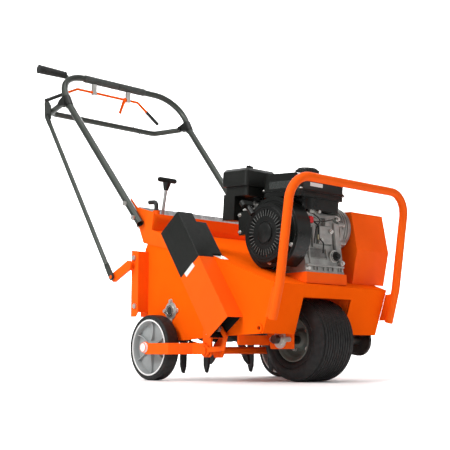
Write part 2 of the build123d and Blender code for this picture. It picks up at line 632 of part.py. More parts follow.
# ---------------------------------------------------------------- belt guard, roll bar
def belt_guard():
    """Folded cover over the belt, closed below where it overhangs the left panel."""
    outline = [(-420, deck_height(-420) + 0.3), (-444, 394), (-422, 514), (-91, 535), (-14, 520),
               (-1, deck_height(-1) + 0.3)]
    inside = [(-417, deck_height(-417) + 3), (-441, 394), (-420, 511.8), (-92, 532.5), (-16, 517.8),
              (-3.6, deck_height(-3.6) + 3)]
    guard = plate_x(outline, 130, 280) - plate_x(inside, 132.5, 277.5)
    mouth = inside[:1] + inside[-1:] + [(-3.6, deck_height(-3.6) - 6), (-417, deck_height(-417) - 6)]
    guard -= plate_x(mouth, 132.5, HALF_WIDTH - 0.2)
    guard -= rod_x(125, 135, OUTPUT, 22)
    return guard - rod_x(125, 135, JACKSHAFT, 14)


def build_guards():
    node("belt_guard", belt_guard())
    right = [(-x, y, z) for x, y, z in (ROLL_FOOT, ROLL_KNEE, ROLL_TOP)]
    left = [ROLL_TOP, ROLL_KNEE, ROLL_FOOT]
    hoop = tube(right + left, [60, 70, 70, 60], HANDLE_TUBE)
    for side in (-1, 1):
        ear = [(-431, 182), (-455, 182), (-484, 262), (-459, 262)]
        hoop += plate_x(ear, HALF_WIDTH * side, (HALF_WIDTH + 6) * side)
    node("roll_bar", hoop)


# ---------------------------------------------------------------- engine
def build_engine():
    outline = [(-440, TRAY_TOP), (-440, 345), (-428, 400), (-424, 494), (-292, 500), (-292, TRAY_TOP)]
    hollow = [(-432, TRAY_TOP + 8), (-432, 345), (-420, 400), (-416, 486), (-300, 492),
              (-300, TRAY_TOP + 8)]
    case = plate_x(outline, -94, 69) - plate_x(hollow, -86, 63)
    case += box(-96, 68, -444, -284, TRAY_TOP, TRAY_TOP + 7)
    node("crankcase", case)
    reduction = rod_x(69, 82, (-359, 436), 72) - rod_x(68, 79, (-359, 436), 68)
    reduction += ring_x(80, 125, OUTPUT, 66, 60) + ring_x(119, 125, OUTPUT, 62, 12 + RUNNING)
    reduction += ring_x(119, 129, OUTPUT, 19, 12 + RUNNING)
    node("reduction_case", reduction)
    shaft = rod_x(110, 186, OUTPUT, 12)
    shaft += turned(pulley(OUTPUT_PULLEY), OUTPUT, BELT_X)
    node("output_shaft", shaft)
    head = box(-52, 30, -291.8, -205, 404, 490)
    for step in range(8):
        head += box(-64, 42, -288 + step * 11, -284 + step * 11, 394, 501)
    head += rounded(box(-46, 24, -206, -188, 408, 484), Axis.Y, 12)
    head += bar((-10, -236, 500), (-22, -228, 532), 8)
    node("cylinder_block", head)
    shroud = rod_x(-150, -95, CRANK, 108)
    shroud += box(-150, -95, -359, -215, 436, 508)
    hollow = rod_x(-147, -90, CRANK, 105) + box(-147, -90, -356, -218, 440, 505)
    shroud = shroud - hollow - rod_x(-160, -140, CRANK, 70)
    shroud -= box(-160, -90, -480, -200, 300, deck_height(-310))
    node("blower_housing", shroud)
    cover = rod_x(-175, -150, CRANK, 86) - rod_x(-172, -149, CRANK, 83)
    for step in range(30):
        slot = box(-178, -170, 50, 70, -1.7, 1.7)
        cover -= Pos(0, *CRANK) * Rot(step * 12 + 3, 0, 0) * slot
    cover += rod_x(-179, -173, CRANK, 30)
    way = Vector(*ROPE_WAY)
    hub = Vector(-178, *CRANK)
    cover += bar(tuple(hub + way * 76), tuple(hub + way * 108), 8)
    cover -= bar(tuple(hub + way * 77), tuple(hub + way * 112), 3)
    node("recoil_cover", cover)
    place = Plane(origin=hub + way * 109, x_dir=(1, 0, 0), z_dir=way)
    grip = place * Pos(0, 0, 9) * rounded(Box(46, 17, 18), Axis.Z, 7)
    node("starter_grip", grip + bar(tuple(hub + way * 79), tuple(hub + way * 112), 2))
    dome = [(-480, 530), (-480, 588), (-457, 588), (-449, 598), (-434, 606), (-322, 608), (-302, 602),
            (-293, 592), (-280, 592), (-280, 530)]
    inside = [(-480, 530), (-480, 585), (-455, 585), (-447, 595), (-433, 602.5), (-323, 604.5), (-304, 599),
              (-295, 590), (-280, 590), (-280, 530)]
    tank = rounded(box(-130, 60, -457, -293, 538, 610), Axis.Z, 18) & plate_x(dome, -130, 70)
    tank += rounded(box(-93, 54, -450, -304, 503, 540), Axis.Z, 22)
    tank -= rounded(box(-126, 56, -453, -297, 542, 612), Axis.Z, 14) & plate_x(inside, -130, 70)
    tank -= rounded(box(-89, 50, -446, -308, 507, 545), Axis.Z, 18)
    tank += rounded(box(-135, 65, -462, -288, 553, 558), Axis.Z, 20) \
        - rounded(box(-128, 58, -455, -295, 550, 562), Axis.Z, 16)
    tank += rod_z(*FUEL_CAP[:2], 603, 612, 25) - rod_z(*FUEL_CAP[:2], 596, 620, 19)
    tank -= rod_z(*FUEL_CAP[:2], 596, 620, 19)
    node("fuel_tank", nose_down(tank))
    cap = rod_z(*FUEL_CAP[:2], 612.4, 630, 35) + rod_z(*FUEL_CAP[:2], 630, 635, 29)
    node("fuel_cap", nose_down(cap + rod_z(*FUEL_CAP[:2], 600, 613, 18.5)))
    cover = rounded(box(-170, -45, -268, -150, 575, 630), Axis.Z, 12)
    cover = chamfer(cover.edges().group_by(Axis.Z)[-1], 9)
    cover += rounded(box(-160, -54, -261, -157, 546, 576), Axis.Z, 10)
    cover -= rounded(box(-156, -58, -257, -161, 550, 626), Axis.Z, 8)
    cover += box(-160, -118, -206, -154, 472, 552)
    cover += rod_z(-107, -209, 628, 648, 3) + rod_z(-107, -209, 630, 637, 9)
    cover += box(-120, -94, -211, -207, 634, 646)
    node("air_cleaner", nose_down(cover))
    carb = box(-94, -67, -262, -214, 503, 545.5) + rod_x(-110, -90, (-244, 530), 13)
    node("carburettor", carb)
    node("throttle_lever", rod_x(-116, -110.4, (-226, 522), 7) + box(-116, -112, -262, -226, 519, 525)
         + rod_x(-111, -100, (-226, 522), 3))
    NODES["carburettor"][0] -= rod_x(-130, -97, (-226, 522), 3 + RUNNING)
    NODES["carburettor"][0] += ring_x(-109, -93, (-226, 522), 6, 3 + RUNNING)
    muffler = rounded(box(0, 110, -280, -150, 510, 600), Axis.X, 18)
    muffler -= rounded(box(3, 107, -277, -153, 513, 597), Axis.X, 15)
    muffler += box(6, 34, -262, -232, 488, 513)
    node("muffler", muffler - NODES["cylinder_block"][0])
    NODES["crankcase"][0] += box(-94, -70, -452, -423, 448, 482) - box(-90, -74, -455, -437, 454, 476)
    rocker = rounded(box(-89, -75, -457, -438.5, 456, 474), Axis.X, 3) + rod_x(-89.7, -74.3, (-449, 465), 3)
    node("engine_switch", rocker)


def nose_down(solid):
    """Tips a solid forward about the crankcase's top, as the tank and air cleaner sit."""
    return Pos(0, *TIP_AXIS) * Rot(NOSE_DOWN, 0, 0) * Pos(0, -TIP_AXIS[0], -TIP_AXIS[1]) * solid


def pulley(radius):
    return [(-10, 9), (-10, radius + 5), (-8.5, radius + 5), (-4.5, radius - 7), (4.5, radius - 7),
            (8.5, radius + 5), (10, radius + 5), (10, 9)]


# ---------------------------------------------------------------- transmission
def build_transmission():
    jack = rod_x(94, 226, JACKSHAFT, 10)
    jack += turned(pulley(JACK_PULLEY), JACKSHAFT, BELT_X)
    jack += sprocket(CHAIN_X[0], JACKSHAFT, JACK_SPROCKET, 10)
    node("jackshaft", jack)
    node("drive_belt", band(OUTPUT, OUTPUT_PULLEY - 2, JACKSHAFT, JACK_PULLEY - 2, 6, BELT_X, 11))
    chains = []
    for x, a, ra, b, rb in ((CHAIN_X[0], JACKSHAFT, JACK_SPROCKET, DRUM, DRUM_SPROCKET),
                            (CHAIN_X[1], DRUM, DRIVE_SPROCKET, FRONT_AXLE, AXLE_SPROCKET)):
        for side in (-1, 1):
            chains.append(band(a, ra - 4, b, rb - 4, 8, x + side * 3.4, 1.8))
    node("drive_chains", chains)
    arm = strap([IDLER_PIVOT, IDLER], 20, 179, 184) + rod_x(156, 182, IDLER, 6)
    node("idler_arm", arm - rod_x(150, 200, IDLER_PIVOT, 7 + RUNNING))
    node("idler_pulley", turned([(-8, 6 + RUNNING), (-8, IDLER_RADIUS), (8, IDLER_RADIUS),
                                 (8, 6 + RUNNING)], IDLER, BELT_X))


def build_fasteners(brackets):
    bolts = list(brackets)
    for side in (-1, 1):
        def x(out):
            return out * side
        for y, z in ((212, 576.3), (166, 523.6)):
            shift = (y - 148) / 427 * 27
            inner = 258 + shift - HANDLE_TUBE
            outer = 258 + shift + HANDLE_TUBE
            if inner > 245:
                bolts.append(hex_head(x(outer + 0.4), x(outer + 7), (y, z), 15))
        for y, z in ((144, 388), (137, 232)):
            bolts.append(hex_head(x(281), x(287), (y, z), 15))
        for angle in (0, 90, 180, 270):
            foot = swing(DRUM, 30, angle)
            bolts.append(hex_head(x(243), x(247.2), foot, 10))
        bolts.append(hex_head(x(243.2), x(249), (176, 500), 13))
        bolts.append(hex_head(x(246.2), x(252), (CARRIAGE[0] - 12, 140), 13))
    for y in (-400, -60):
        bolts.append(hex_head(280, 284, (y, 470), 13))
    node("fasteners", bolts)


def build_all():
    build_housing()
    build_drum()
    build_front_wheel()
    build_carriage()
    build_lift()
    build_spring()
    build_handlebar()
    brackets = build_clutch()
    build_depth()
    build_guards()
    build_engine()
    build_transmission()
    build_fasteners(brackets)


build_all()
low, high = [1e9] * 3, [-1e9] * 3
for parts in NODES.values():
    for solid in parts:
        bounds = solid.bounding_box()
        low = [min(a, b) for a, b in zip(low, tuple(bounds.min))]
        high = [max(a, b) for a, b in zip(high, tuple(bounds.max))]
SHIFT = (-(low[0] + high[0]) / 2, -(low[1] + high[1]) / 2, -low[2])

if __name__ == "__main__":
    os.makedirs("parts", exist_ok=True)
    for name, parts in NODES.items():
        shape = parts[0] if len(parts) == 1 else Compound(parts)
        export_step(shape.moved(Location(SHIFT)), "parts/%s.step" % name)
    print("nodes", len(NODES), "shift", [round(v, 3) for v in SHIFT])
    print("size", [round(b - a, 1) for a, b in zip(low, high)])
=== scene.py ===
import json
import math
import bmesh
import bpy
import numpy as np
from mathutils import Matrix, Vector


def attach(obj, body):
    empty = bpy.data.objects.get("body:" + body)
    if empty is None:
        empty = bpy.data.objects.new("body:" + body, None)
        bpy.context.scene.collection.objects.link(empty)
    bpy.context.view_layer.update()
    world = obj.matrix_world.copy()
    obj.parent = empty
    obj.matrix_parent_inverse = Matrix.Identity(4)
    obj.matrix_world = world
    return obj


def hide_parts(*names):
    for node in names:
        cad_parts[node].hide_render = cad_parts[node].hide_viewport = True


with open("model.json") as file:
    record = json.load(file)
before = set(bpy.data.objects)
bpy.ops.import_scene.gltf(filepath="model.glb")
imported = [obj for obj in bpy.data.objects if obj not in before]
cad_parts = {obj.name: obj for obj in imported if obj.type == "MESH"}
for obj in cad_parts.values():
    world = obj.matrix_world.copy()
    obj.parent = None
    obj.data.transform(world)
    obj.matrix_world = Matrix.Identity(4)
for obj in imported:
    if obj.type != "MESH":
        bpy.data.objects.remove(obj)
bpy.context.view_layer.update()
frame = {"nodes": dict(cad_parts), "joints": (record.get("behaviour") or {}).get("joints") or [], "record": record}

NODES = frame["nodes"]
JOINTS = {j["name"]: j for j in frame["joints"]}
BODY = {n: b for b, members in frame["record"]["behaviour"]["bodies"].items() for n in members}
DRUM = Vector(JOINTS["tine_drum_spin"]["pos_m"])
MM = 0.001


def at(x, y, z):
    """Point in metres from millimetres: x from the middle plane, y from the drum's axis, z from the ground."""
    return Vector((x * MM + DRUM.x, y * MM + DRUM.y, z * MM))


# ---------------------------------------------------------------- materials
def socket(node, name, value):
    node.inputs[name].default_value = value


class Maker:
    """Small helper round one material's node tree."""

    def __init__(self, name):
        self.mat = bpy.data.materials.new(name)
        self.mat.use_nodes = True
        self.tree = self.mat.node_tree
        self.shader = self.tree.nodes["Principled BSDF"]
        self.coord = self.tree.nodes.new("ShaderNodeTexCoord")

    def add(self, kind, **values):
        node = self.tree.nodes.new(kind)
        for key, value in values.items():
            if key in node.inputs:
                node.inputs[key].default_value = value
            else:
                setattr(node, key, value)
        return node

    def link(self, a, b):
        self.tree.links.new(a, b)

    def noise(self, scale, detail=4.0, rough=0.55, stretch=None):
        source = self.coord.outputs["Object"]
        if stretch:
            mapping = self.add("ShaderNodeMapping")
            mapping.inputs["Scale"].default_value = stretch
            self.link(source, mapping.inputs["Vector"])
            source = mapping.outputs[0]
        node = self.add("ShaderNodeTexNoise", Scale=scale, Detail=detail, Roughness=rough)
        self.link(source, node.inputs["Vector"])
        return node.outputs["Fac"]

    def ramp(self, fac, low, high, a=0.35, b=0.65):
        node = self.add("ShaderNodeMapRange")
        node.inputs["From Min"].default_value = a
        node.inputs["From Max"].default_value = b
        node.inputs["To Min"].default_value = low
        node.inputs["To Max"].default_value = high
        self.link(fac, node.inputs["Value"])
        return node.outputs["Result"]

    def mix(self, fac, a, b):
        node = self.add("ShaderNodeMix", data_type="RGBA")
        self.link(fac, node.inputs["Factor"])
        for value, place in ((a, 6), (b, 7)):
            if isinstance(value, (tuple, list)):
                node.inputs[place].default_value = (*value[:3], 1)
            else:
                self.link(value, node.inputs[place])
        return node.outputs[2]

    def bump(self, height, strength, distance, normal=None):
        node = self.add("ShaderNodeBump", Strength=strength, Distance=distance)
        self.link(height, node.inputs["Height"])
        if normal is not None:
            self.link(normal, node.inputs["Normal"])
        return node.outputs["Normal"]

    def done(self, color=None, rough=None, normal=None, **values):
        if color is not None:
            self.link(color, self.shader.inputs["Base Color"])
        if rough is not None:
            self.link(rough, self.shader.inputs["Roughness"])
        if normal is not None:
            self.link(normal, self.shader.inputs["Normal"])
        for key, value in values.items():
            socket(self.shader, key.replace("_", " "), value)
        return self.mat


def paint(name, color, dark, rough=(0.28, 0.40), peel=0.10, wear=(0.35, 0.33, 0.3), coat=0.25, scuffs=0.6,
          specular=0.28, metallic=0.0):
    """Powder coat: fine orange peel, slight tone drift, dark flecks and small scuffs."""
    m = Maker(name)
    tone = m.mix(m.ramp(m.noise(5.5, 5), 0, 1), color, dark)
    fleck = m.mix(m.ramp(m.noise(900, 2), 0, 0.22, 0.5, 0.75), tone, tuple(c * 0.7 for c in color))
    scuff = m.ramp(m.noise(75, 9, 0.75), 0, scuffs, 0.66, 0.74)
    worn = m.mix(scuff, fleck, wear)
    normal = m.bump(m.noise(620, 3, 0.5), peel, 0.0012)
    return m.done(worn, m.ramp(m.noise(14, 6), *rough), normal, Coat_Weight=coat, Coat_Roughness=0.16,
                  Metallic=metallic, IOR=1.5, Specular_IOR_Level=specular)


def metal(name, color, dark, rough=(0.3, 0.5), grain=260, bump=0.12, stretch=None, metallic=0.9):
    m = Maker(name)
    tone = m.mix(m.ramp(m.noise(18, 6), 0, 1), color, dark)
    fine = m.noise(grain, 5, 0.6, stretch)
    return m.done(m.mix(m.ramp(fine, 0, 0.35), tone, dark), m.ramp(fine, *rough),
                  m.bump(fine, bump, 0.001), Metallic=metallic)


def cast(name, color, dark):
    """Sand or die cast aluminium with a pebbled skin."""
    m = Maker(name)
    tone = m.mix(m.ramp(m.noise(26, 7, 0.65), 0, 1, 0.3, 0.7), dark, color)
    cells = m.add("ShaderNodeTexVoronoi", Scale=520.0)
    m.link(m.coord.outputs["Object"], cells.inputs["Vector"])
    normal = m.bump(cells.outputs["Distance"], 0.22, 0.0012)
    normal = m.bump(m.noise(150, 6), 0.25, 0.002, normal)
    return m.done(tone, m.ramp(m.noise(60, 5), 0.36, 0.58), normal, Metallic=0.78)


def plastic(name, color, light, rough=(0.38, 0.52), grain=700, bump=0.18, coat=0.0):
    """Moulded plastic with a fine leather-like grain."""
    m = Maker(name)
    tone = m.mix(m.ramp(m.noise(9, 5), 0, 1), color, light)
    cells = m.add("ShaderNodeTexVoronoi", Scale=float(grain), feature="SMOOTH_F1")
    m.link(m.coord.outputs["Object"], cells.inputs["Vector"])
    normal = m.bump(cells.outputs["Distance"], bump, 0.0006)
    return m.done(tone, m.ramp(m.noise(40, 5), *rough), normal, Coat_Weight=coat, Coat_Roughness=0.2,
                  Specular_IOR_Level=0.3)


def rubber(name, color, dusty):
    m = Maker(name)
    dust = m.ramp(m.noise(34, 8, 0.7), 0, 1, 0.42, 0.8)
    normal = m.bump(m.noise(420, 5, 0.6), 0.25, 0.0008)
    return m.done(m.mix(dust, color, dusty), m.ramp(m.noise(80, 5), 0.5, 0.72), normal,
                  Specular_IOR_Level=0.4)


def galvanised(name):
    m = Maker(name)
    cells = m.add("ShaderNodeTexVoronoi", Scale=90.0)
    m.link(m.coord.outputs["Object"], cells.inputs["Vector"])
    tone = m.mix(m.ramp(cells.outputs["Color"], 0, 1, 0.2, 0.8), (0.46, 0.47, 0.47), (0.68, 0.69, 0.69))
    return m.done(tone, m.ramp(cells.outputs["Distance"], 0.28, 0.5, 0.0, 1.0),
                  m.bump(m.noise(200, 4), 0.06, 0.001), Metallic=0.85)


ORANGE_TONE, ORANGE_SHADE, ORANGE_SCUFF = (0.93, 0.112, 0.003), (0.87, 0.098, 0.003), (0.62, 0.10, 0.02)
ORANGE = paint("orange powder coat", ORANGE_TONE, ORANGE_SHADE, (0.5, 0.62), 0.12, ORANGE_SCUFF, 0.02, 0.35,
               specular=0.08)
DECK_ORANGE = paint("orange powder coat, matt", ORANGE_TONE, ORANGE_SHADE, (0.5, 0.62), 0.12, ORANGE_SCUFF, 0.0,
                    0.35, specular=0.0)
TUBE_GREY = paint("dark grey metallic paint", (0.045, 0.051, 0.044), (0.036, 0.041, 0.035), (0.32, 0.44), 0.05,
                  (0.22, 0.22, 0.2), 0.3, 0.4, metallic=0.45)
BLACK_PAINT = paint("black engine enamel", (0.004, 0.0048, 0.004), (0.006, 0.007, 0.006), (0.26, 0.38), 0.05,
                    (0.02, 0.02, 0.02), 0.1, 0.3)
TINE_BLACK = paint("black tine lacquer", (0.008, 0.008, 0.009), (0.014, 0.014, 0.015), (0.3, 0.46), 0.1,
                   (0.12, 0.12, 0.12), 0.1, 0.5)
BLACK_PLASTIC = plastic("black moulded plastic", (0.0045, 0.0055, 0.0045), (0.007, 0.008, 0.0068))
COVER_PLASTIC = plastic("recoil cover plastic", (0.0045, 0.0052, 0.0048), (0.0065, 0.0072, 0.0066),
                        (0.3, 0.42), 900, 0.1)
WHEEL_PLASTIC = plastic("light grey wheel plastic", (0.33, 0.35, 0.35), (0.27, 0.285, 0.285), (0.3, 0.45), 900,
                        0.06)
WHITE_PLASTIC = plastic("white cap plastic", (0.85, 0.85, 0.84), (0.78, 0.78, 0.77), (0.25, 0.35), 900, 0.04)
RED_PLASTIC = plastic("red switch plastic", (0.55, 0.012, 0.016), (0.42, 0.008, 0.012), (0.25, 0.35), 900, 0.05)
CAST_SILVER = cast("cast aluminium", (0.44, 0.44, 0.42), (0.23, 0.23, 0.22))
CAST_DARK = cast("dark cast aluminium", (0.22, 0.22, 0.21), (0.12, 0.12, 0.115))
# Black for the drum bearing seals, and used as painted shade inside the right guard.
BLACK_SEAL_AND_PAINTED_SHADE = plastic("black seal rubber and painted guard shade", (0.004, 0.004, 0.004), (0.006, 0.006, 0.006), (0.7, 0.8), 400, 0.2)
STEEL = metal("bright zinc steel", (0.72, 0.71, 0.68), (0.5, 0.49, 0.46))
YELLOW_ZINC = metal("yellow zinc steel", (0.66, 0.56, 0.32), (0.45, 0.4, 0.27))
BRUSHED = metal("turned steel", (0.62, 0.62, 0.61), (0.42, 0.42, 0.41), (0.22, 0.4), 320, 0.1, (12, 1, 1))
DARK_STEEL = metal("oiled dark steel", (0.13, 0.125, 0.115), (0.06, 0.058, 0.055), (0.32, 0.5), 200, 0.15)
GALVANISED = galvanised("galvanised sheet")
TYRE = rubber("tyre rubber", (0.005, 0.005, 0.005), (0.011, 0.0108, 0.0102))
GRIP = rubber("grip rubber", (0.013, 0.014, 0.013), (0.022, 0.022, 0.021))
SLEEVE = rubber("grey sleeve vinyl", (0.045, 0.05, 0.046), (0.07, 0.075, 0.07))
RIM_PAINT = paint("grey rim paint", (0.15, 0.17, 0.15), (0.12, 0.135, 0.12), (0.34, 0.5), 0.12,
                  (0.25, 0.25, 0.24), 0.15, 0.6)


# ---------------------------------------------------------------- mesh helpers
def finish_piece(obj, name, material, body, smooth=35):
    obj.data.materials.clear()
    obj.data.materials.append(material)
    if obj.type == "MESH":
        obj.data.shade_smooth()
        if smooth:
            obj.data.set_sharp_from_angle(angle=math.radians(smooth))
    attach(obj, body)
    return obj


def link_mesh(name, bm):
    mesh = bpy.data.meshes.new(name)
    bm.to_mesh(mesh)
    bm.free()
    obj = bpy.data.objects.new(name, mesh)
    bpy.context.scene.collection.objects.link(obj)
    return obj


def soften(obj, width, segments=2, angle=32):
    """Rounds the sharp edges."""
    mod = obj.modifiers.new("edges", "BEVEL")
    mod.width = width
    mod.segments = segments
    mod.limit_method = "ANGLE"
    mod.angle_limit = math.radians(angle)
    mod.harden_normals = True
    mod.use_clamp_overlap = True
    return obj


def refine(node, material, width=0.001, segments=2, angle=32, smooth=32, name=None):
    """Piece with a CAD node's shape, cleaned of its triangles and with rounded edges."""
    source = NODES[node]
    bm = bmesh.new()
    bm.from_mesh(source.data)
    bmesh.ops.remove_doubles(bm, verts=bm.verts, dist=1e-6)
    bmesh.ops.dissolve_limit(bm, angle_limit=math.radians(0.6), verts=bm.verts, edges=bm.edges)
    obj = link_mesh(name or node + "_skin", bm)
    finish_piece(obj, name, material, BODY[node], smooth)
    if width:
        soften(obj, width, segments, angle)
    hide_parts(node)
    return obj


def keep(node, material):
    obj = NODES[node]
    obj.data.materials.clear()
    obj.data.materials.append(material)
    return obj


def lathe(name, profile, centre, body, material, steps=96, closed=True, smooth=40):
    """Turned piece about X through centre; profile = (x, radius) in mm."""
    bm = bmesh.new()
    rings = []
    for step in range(steps):
        angle = 2 * math.pi * step / steps
        rings.append([bm.verts.new((centre.x + x * MM, centre.y + r * MM * math.cos(angle),
                                    centre.z + r * MM * math.sin(angle))) for x, r in profile])
    count = len(profile)
    last = count if closed else count - 1
    for step in range(steps):
        a, b = rings[step], rings[(step + 1) % steps]
        for k in range(last):
            j = (k + 1) % count
            face = [a[k], a[j], b[j], b[k]]
            bm.faces.new(face)
    bmesh.ops.remove_doubles(bm, verts=bm.verts, dist=1e-6)
    bmesh.ops.recalc_face_normals(bm, faces=bm.faces)
    return finish_piece(link_mesh(name, bm), name, material, body, smooth)


def add_box(bm, low, high, matrix=None):
    """Adds a box between two corners in mm design coordinates, or in a local frame."""
    verts = []
    for x in (low[0], high[0]):
        for y in (low[1], high[1]):
            for z in (low[2], high[2]):
                point = matrix @ Vector((x * MM, y * MM, z * MM)) if matrix else at(x, y, z)
                verts.append(bm.verts.new(point))
    for quad in ((0, 1, 3, 2), (4, 6, 7, 5), (0, 4, 5, 1), (2, 3, 7, 6), (0, 2, 6, 4), (1, 5, 7, 3)):
        bm.faces.new([verts[i] for i in quad])


def add_rod(bm, start, end, radius, sides=24, tip=None):
    """Adds a capped round bar between two points in metres."""
    way = end - start
    turn = way.to_track_quat("Z", "Y").to_matrix().to_4x4()
    place = Matrix.Translation(start) @ turn
    lower = [bm.verts.new(place @ Vector((radius * math.cos(a), radius * math.sin(a), 0)))
             for a in np.linspace(0, 2 * math.pi, sides, endpoint=False)]
    r2 = radius if tip is None else tip
    upper = [bm.verts.new(place @ Vector((r2 * math.cos(a), r2 * math.sin(a), way.length)))
             for a in np.linspace(0, 2 * math.pi, sides, endpoint=False)]
    bm.faces.new(lower[::-1])
    bm.faces.new(upper)
    for i in range(sides):
        j = (i + 1) % sides
        bm.faces.new([lower[i], lower[j], upper[j], upper[i]])


def built(name, material, body, draw, width=0.0008, smooth=35, segments=2):
    """Piece whose mesh is drawn by draw(bm)."""
    bm = bmesh.new()
    draw(bm)
    bmesh.ops.recalc_face_normals(bm, faces=bm.faces)
    obj = finish_piece(link_mesh(name, bm), name, material, body, smooth)
    if width:
        soften(obj, width, segments)
    return obj


def bent(points, radii, steps=14):
    """Points of straight runs joined by arcs, in metres."""
    points = [at(*p) for p in points]
    line = [points[0]]
    for i in range(1, len(points) - 1):
        before, here, after = points[i - 1], points[i], points[i + 1]
        a, b = (before - here).normalized(), (after - here).normalized()
        radius = radii[i - 1] * MM
        half = a.angle(b) / 2
        reach = radius / math.tan(half)
        centre = here + (a + b).normalized() * (radius / math.sin(half))
        start, stop = here + a * reach, here + b * reach
        u = (start - centre).normalized()
        v = (stop - centre).normalized()
        sweep = u.angle(v)
        for step in range(steps + 1):
            t = step / steps
            line.append(centre + (u * math.sin((1 - t) * sweep) + v * math.sin(t * sweep))
                        / math.sin(sweep) * radius)
    line.append(points[-1])
    return line


def pipe(name, points, radii, radius, material, body, sides=28, wall=None):
    """Round tube along straight runs and arcs, in mm."""
    line = bent(points, radii)
    bm = bmesh.new()
    tangent = (line[1] - line[0]).normalized()
    side = tangent.orthogonal().normalized()
    rings = []
    for i, point in enumerate(line):
        ahead = (line[min(i + 1, len(line) - 1)] - line[max(i - 1, 0)]).normalized()
        side = (side - ahead * side.dot(ahead)).normalized()
        up = ahead.cross(side)
        rings.append([bm.verts.new(point + (side * math.cos(a) + up * math.sin(a)) * radius * MM)
                      for a in np.linspace(0, 2 * math.pi, sides, endpoint=False)])
    for a, b in zip(rings, rings[1:]):
        for k in range(sides):
            j = (k + 1) % sides
            bm.faces.new([a[k], a[j], b[j], b[k]])
    for ring, flip in ((rings[0], True), (rings[-1], False)):
        if wall:
            centre = sum((v.co for v in ring), Vector()) / sides
            inner = [bm.verts.new(centre + (v.co - centre) * (1 - wall / radius)) for v in ring]
            for k in range(sides):
                j = (k + 1) % sides
                bm.faces.new([ring[k], ring[j], inner[j], inner[k]])
            way = (line[1] - line[0]).normalized() if flip else (line[-2] - line[-1]).normalized()
            deep = [bm.verts.new(v.co + way * 0.03) for v in inner]
            for k in range(sides):
                j = (k + 1) % sides
                bm.faces.new([inner[k], inner[j], deep[j], deep[k]])
            bm.faces.new(deep)
        else:
            bm.faces.new(ring)
    bmesh.ops.recalc_face_normals(bm, faces=bm.faces)
    return finish_piece(link_mesh(name, bm), name, material, body, 40)


def hexagon(bm, centre, way, across, height, washer=None):
    """Adds a hexagon head, with a washer if asked, standing on centre along way."""
    way = way.normalized()
    if washer:
        add_rod(bm, centre, centre + way * 1.2 * MM, washer / 2 * MM, 24)
        centre = centre + way * 1.2 * MM
    add_rod(bm, centre, centre + way * height * MM, across / math.sqrt(3) * MM, 6,
            across / math.sqrt(3) * MM * 0.97)


def stand_for(obj, node):
    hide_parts(node)
    return obj


# ---------------------------------------------------------------- shapes that come straight from the CAD
refine("housing", DECK_ORANGE, 1.2 * MM)
for node, width in (("rear_box", 1.2), ("engine_pedestal", 1.0), ("belt_guard", 1.6),
                    ("spring_guard", 1.4), ("lift_channels", 1.2), ("pivot_brackets", 1.2),
                    ("axle_carrier", 1.0), ("carriage_bar", 0.8), ("wheel_arms", 1.4), ("lift_rockshaft", 1.0)):
    refine(node, ORANGE, width * MM)
refine("rear_tray", GALVANISED, 0.5 * MM)
refine("spring_guard_cap", BLACK_PLASTIC, 2.6 * MM, 3)
refine("crankcase", CAST_SILVER, 2.0 * MM, 3)
refine("reduction_case", CAST_SILVER, 1.6 * MM, 3)
refine("cylinder_block", CAST_DARK, 0.7 * MM)
refine("blower_housing", BLACK_PAINT, 2.6 * MM, 3)
refine("recoil_cover", COVER_PLASTIC, 0.9 * MM, 2)
refine("carburettor", CAST_DARK, 1.0 * MM)
refine("muffler", BLACK_PAINT, 1.2 * MM)
refine("handlebar_clamps", BLACK_PAINT, 0.8 * MM)
refine("lift_link", TUBE_GREY, 0.6 * MM)
refine("lift_rod", TUBE_GREY, 0.8 * MM)
refine("shaft_bearings", STEEL, 0.6 * MM)
refine("fasteners", STEEL, 0.5 * MM)
refine("tines", TINE_BLACK, 0.8 * MM)
refine("tine_hubs", TINE_BLACK, 0.6 * MM)
refine("engine_switch", RED_PLASTIC, 1.2 * MM, 3)
refine("starter_grip", BLACK_PLASTIC, 2.2 * MM, 3)
refine("throttle_lever", STEEL, 0.5 * MM)
refine("idler_arm", DARK_STEEL, 0.6 * MM)
refine("idler_pulley", BRUSHED, 0.6 * MM)
refine("drum_shaft", DARK_STEEL, 0.5 * MM)
refine("front_axle", DARK_STEEL, 0.5 * MM)
refine("jackshaft", BRUSHED, 0.5 * MM)
refine("output_shaft", BRUSHED, 0.5 * MM)
refine("spring_drawbar", BRUSHED, 0.5 * MM)
low, top = at(-170, 157, 489), at(-170, 120, 655)
stem = (top - low).normalized()
stand_for(built("depth_stem", BRUSHED, "depth_knob",
                lambda bm: add_rod(bm, low, top - stem * 0.01, 5.5 * MM, 28), 0.4 * MM), "depth_knob")


def knob_shape(bm):
    add_rod(bm, top - stem * 0.034, top - stem * 0.006, 8 * MM, 40, 15 * MM)
    across = Vector((1, 0, 0))
    place = Matrix.Translation(top) @ Matrix((across, stem.cross(across), stem)).transposed().to_4x4()
    steps = 40
    rims = []
    for h, grow in ((-8.5, 0.80), (-5, 0.97), (0, 1.0), (5, 0.97), (8.5, 0.80)):
        ring = []
        for step in range(steps):
            a = math.tau * step / steps
            reach = 15 + 26 * abs(math.cos(a)) ** 3.2
            thick = 11 - 0.6 * abs(math.cos(a))
            spot = Vector((reach * grow * math.cos(a) * MM, thick * grow * math.sin(a) * MM, h * MM))
            ring.append(bm.verts.new(place @ spot))
        rims.append(ring)
    for a, b in zip(rims, rims[1:]):
        for i in range(steps):
            j = (i + 1) % steps
            bm.faces.new([a[i], a[j], b[j], b[i]])
    bm.faces.new(rims[0])
    bm.faces.new(rims[-1])


